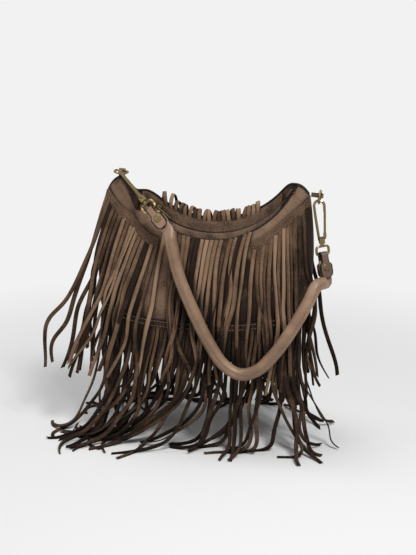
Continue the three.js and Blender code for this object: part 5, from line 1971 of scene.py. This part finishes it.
@dataclass
class Studio:
    """The pale floor, the soft lamps and the camera."""

    shift: Array
    azimuth: float = 10.0
    elevation: float = 18.0
    distance: float = 1.6
    lens: float = 80.0
    target_height: float = 0.15
    target_drop: float = 44.5 / 555
    paper: str = "f2f2f2"
    floor_half: float = 14.0
    ambient: float = 0.22

    def camera(self) -> None:
        """Set the camera where the photograph was taken from."""
        az, el = math.radians(self.azimuth), math.radians(self.elevation)
        back = Vector((math.sin(az) * math.cos(el), -math.cos(az) * math.cos(el), math.sin(el)))
        target = Vector((float(self.shift[0]), float(self.shift[1]), self.target_height))
        data = bpy.data.cameras.new("photo_camera")
        data.lens = self.lens
        data.sensor_width = 36.0
        data.shift_y = self.target_drop
        data.clip_end = 60
        camera = bpy.data.objects.new("photo_camera", data)
        camera.location = target + back * self.distance
        camera.rotation_euler = back.to_track_quat("Z", "Y").to_euler()
        bpy.context.scene.collection.objects.link(camera)
        bpy.context.scene.camera = camera

    def lamp(self, name: str, place: tuple[float, float, float], aim: tuple[float, float, float], size: float,
             power: float) -> None:
        """Add one soft square lamp.

        Args:
            name: Its name.
            place: Where it stands.
            aim: What it points at.
            size: Its side in metres.
            power: Its power in watts.
        """
        data = bpy.data.lights.new(name, "AREA")
        data.shape = "SQUARE"
        data.size = size
        data.energy = power
        lamp = bpy.data.objects.new(name, data)
        lamp.location = place
        lamp.rotation_euler = (Vector(place) - Vector(aim)).to_track_quat("Z", "Y").to_euler()
        bpy.context.scene.collection.objects.link(lamp)

    def seen_rays(self, tree: Tree) -> Socket:
        """One for rays that carry the paper's picture: direct, mirrored or through glass.

        Args:
            tree: The world's node tree.

        Returns:
            The share, 0 or 1.
        """
        rays = add_node(tree, "ShaderNodeLightPath").outputs
        mirrored = calc(tree, "MAXIMUM", rays["Is Camera Ray"], rays["Is Glossy Ray"])
        return calc(tree, "MAXIMUM", mirrored, rays["Is Transmission Ray"])

    def world(self) -> None:
        """Light the scene evenly and keep the background pale."""
        world = bpy.data.worlds.new("pale_studio")
        world.use_nodes = True
        tree = world.node_tree
        tree.nodes.clear()
        rays = self.seen_rays(tree)
        seen = add_node(tree, "ShaderNodeBackground", {"Color": linear(self.paper), "Strength": 1.0})
        light = add_node(tree, "ShaderNodeBackground", {"Color": linear("ffffff"), "Strength": self.ambient})
        mix = add_node(tree, "ShaderNodeMixShader", None, {0: rays, 1: light.outputs[0], 2: seen.outputs[0]})
        add_node(tree, "ShaderNodeOutputWorld", None, {"Surface": mix.outputs[0]})
        bpy.context.scene.world = world

    def floor(self) -> None:
        """Lay the paper floor, which runs on past every edge of the picture."""
        half = self.floor_half
        points = [(-half, -half, 0), (half, -half, 0), (half, half, 0), (-half, half, 0)]
        material, tree = new_material("matt_studio_paper")
        place = add_node(tree, "ShaderNodeTexCoord").outputs["Object"]
        length = add_node(tree, "ShaderNodeVectorMath", {"operation": "LENGTH"}, {0: place})
        far = add_node(tree, "ShaderNodeMapRange", {"From Min": 0.3, "From Max": 0.8,
                                                    "interpolation_type": "SMOOTHSTEP"},
                       {0: length.outputs["Value"]})
        share = calc(tree, "MULTIPLY", far.outputs[0], self.seen_rays(tree))
        paper = add_node(tree, "ShaderNodeBsdfPrincipled", {"Base Color": linear("f3f3f3"), "Roughness": 1.0,
                                                            "Specular IOR Level": 0.0})
        glow = add_node(tree, "ShaderNodeEmission", {"Color": linear(self.paper), "Strength": 1.0})
        mix = add_node(tree, "ShaderNodeMixShader", None, {0: share, 1: paper.outputs[0], 2: glow.outputs[0]})
        add_node(tree, "ShaderNodeOutputMaterial", None, {"Surface": mix.outputs[0]})
        floor = new_piece("paper_floor", np.array(points), [(0, 1, 2, 3)], [material], None, False)

    def build(self) -> None:
        """Make the whole setting."""
        self.camera()
        self.world()
        self.floor()
        self.lamp("key_softbox", (0.75, -1.0, 1.8), (0, 0, 0.12), 0.5, 26)
        self.lamp("top_softbox", (-0.3, 0.1, 1.7), (0, 0, 0.1), 0.9, 9)
        self.lamp("fill_softbox", (-1.5, -0.9, 0.8), (0, 0, 0.15), 1.0, 2)


# Finishes

# Painted shade: the body and fringe suede run to near black dark stops, which their stored shade tones reach.
BODY_SUEDE = BrushedSuede("body_brushed_suede", "7e6553", "957a66", "241913", 26.0, strand_share=0.3,
                         cloud_share=0.35, crevice_shade_power=1.8)
FRINGE_SUEDE = BrushedSuede("fringe_brushed_suede", "6f5643", "987b63", "271a13", 30.0, 1.4, 0.3, 0.27, 0.1,
                            0.35, crevice_shade_power=3.2)
# The strips' cut edges are darker suede, and they are coloured near black as painted shade in the gaps
# between strips.
FRINGE_EDGE_AND_SHADE = BrushedSuede("fringe_cut_edge", "38291f", "4a382c", "281c16", 20.0, 1.0, 0.25, 0.1, 0.05)
DARK_SUEDE = BrushedSuede("dark_brushed_suede", "55412f", "665040", "443427")
HANDLE_LEATHER = RolledLeather("rolled_tan_leather", "83664e", "987b62", "6c533f")
# Painted shade: a darker copy of the tab leather, for the right tab that faces away from the light.
SHADED_TAB_LEATHER = RolledLeather("dark_tab_leather", "5a4335", "6a5243", "493529")
EDGE_PAINT = EdgePaint("dark_edge_paint", "130d0a", "2a201a")
BRASS = AntiqueBrass("antiqued_brass", "7f6e4c", "2a2219")
ZIP_BRASS = AntiqueBrass("dark_zip_brass", "6f6044", "2c251c", 3.0)
THREAD = WaxedThread("waxed_thread", "75604f")
ZIP_TAPE = WaxedThread("black_zip_tape", "221d1a")

METAL_NODES = (
    "ear_ring_left", "ear_ring_right", "hook_left", "hook_right", "hook_gate_left", "hook_gate_right",
    "hook_gate_pin_left", "hook_gate_pin_right", "hook_eye_left", "hook_eye_right", "handle_rivet_left",
    "handle_rivet_right", "zip_slider", "zip_pull",
)


def paint_node(name: str, material: Material) -> None:
    """Give a CAD node one material.

    Args:
        name: The node.
        material: Its finish.
    """
    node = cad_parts[name]
    node.data.materials.clear()
    node.data.materials.append(material)


def ear_loops(shift: Array, suede: Material, paint: Material) -> list[EarLoop]:
    """Plan the two folded loops at the ears.

    Args:
        shift: The move from the body's own place to the row frame.
        suede: Their suede.
        paint: Their edge paint.

    Returns:
        The loops.
    """
    left = np.array([-0.110, 0.0, 0.345])
    right = np.array([0.141, -0.008, 0.322])
    line = unit(right - left)
    down = square_to(np.array([0.0, 0.0, -1.0]), line)
    back = square_to(np.array([0.0, 1.0, 0.0]), line)
    up = np.cross(line, back)
    inwards = square_to(np.array([-1.0, 0.0, 0.0]), up)
    return [
        EarLoop("ear_loop_left", left + shift, line, down, 0.0076, 0.0017, 0.017, suede, paint),
        EarLoop("ear_loop_right", right + back * 0.008 + shift, up, inwards, 0.005, 0.0022, 0.0116, suede,
                paint),
    ]


def main() -> None:
    """Dress the frame and light it."""
    logging.basicConfig(level=logging.INFO, format="%(message)s")
    base_low, base_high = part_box("base_panel")
    form = BagForm()
    shift_x = (base_low[0] + base_high[0]) / 2 - form.centres[3]
    form = BagForm(shift=(float(shift_x), float((base_low[1] + base_high[1]) / 2)))
    shift = np.array([form.shift[0], form.shift[1], 0.0])
    finishes = {kind.name: kind.build() for kind in (
        BODY_SUEDE, FRINGE_SUEDE, FRINGE_EDGE_AND_SHADE, DARK_SUEDE, HANDLE_LEATHER, SHADED_TAB_LEATHER, EDGE_PAINT, BRASS,
        ZIP_BRASS, THREAD, ZIP_TAPE)}
    suede, dark = finishes[BODY_SUEDE.name], finishes[DARK_SUEDE.name]
    paint, thread = finishes[EDGE_PAINT.name], finishes[THREAD.name]

    log.info("panels")
    BodyShell(form, suede, paint).build()
    paint_node("base_panel", dark)
    log.info("zip")
    ZipTrim(form, suede, dark, finishes[ZIP_BRASS.name], finishes[ZIP_TAPE.name]).build()
    log.info("ear loops")
    for loop in ear_loops(shift, suede, paint):
        loop.build()
    log.info("handle")
    RolledHandle(shift, finishes[HANDLE_LEATHER.name], finishes[SHADED_TAB_LEATHER.name], paint, thread).build()
    for name in METAL_NODES:
        paint_node(name, finishes[BRASS.name])
    # Painted shade: the right rivet takes the darker zip brass, so that it stays dark in the shade of its
    # tab.
    paint_node("handle_rivet_right", finishes[ZIP_BRASS.name])
    wall = FormWall(form)
    for side in Side:
        log.info("fringe %s", side.name.lower())
        FringeSide(form, wall, side, finishes[FRINGE_SUEDE.name], finishes[FRINGE_EDGE_AND_SHADE.name], thread).build()
    log.info("studio")
    Studio(shift).build()
    scene = bpy.context.scene
    scene.view_settings.view_transform = "Standard"


if __name__ == "__main__":
    main()
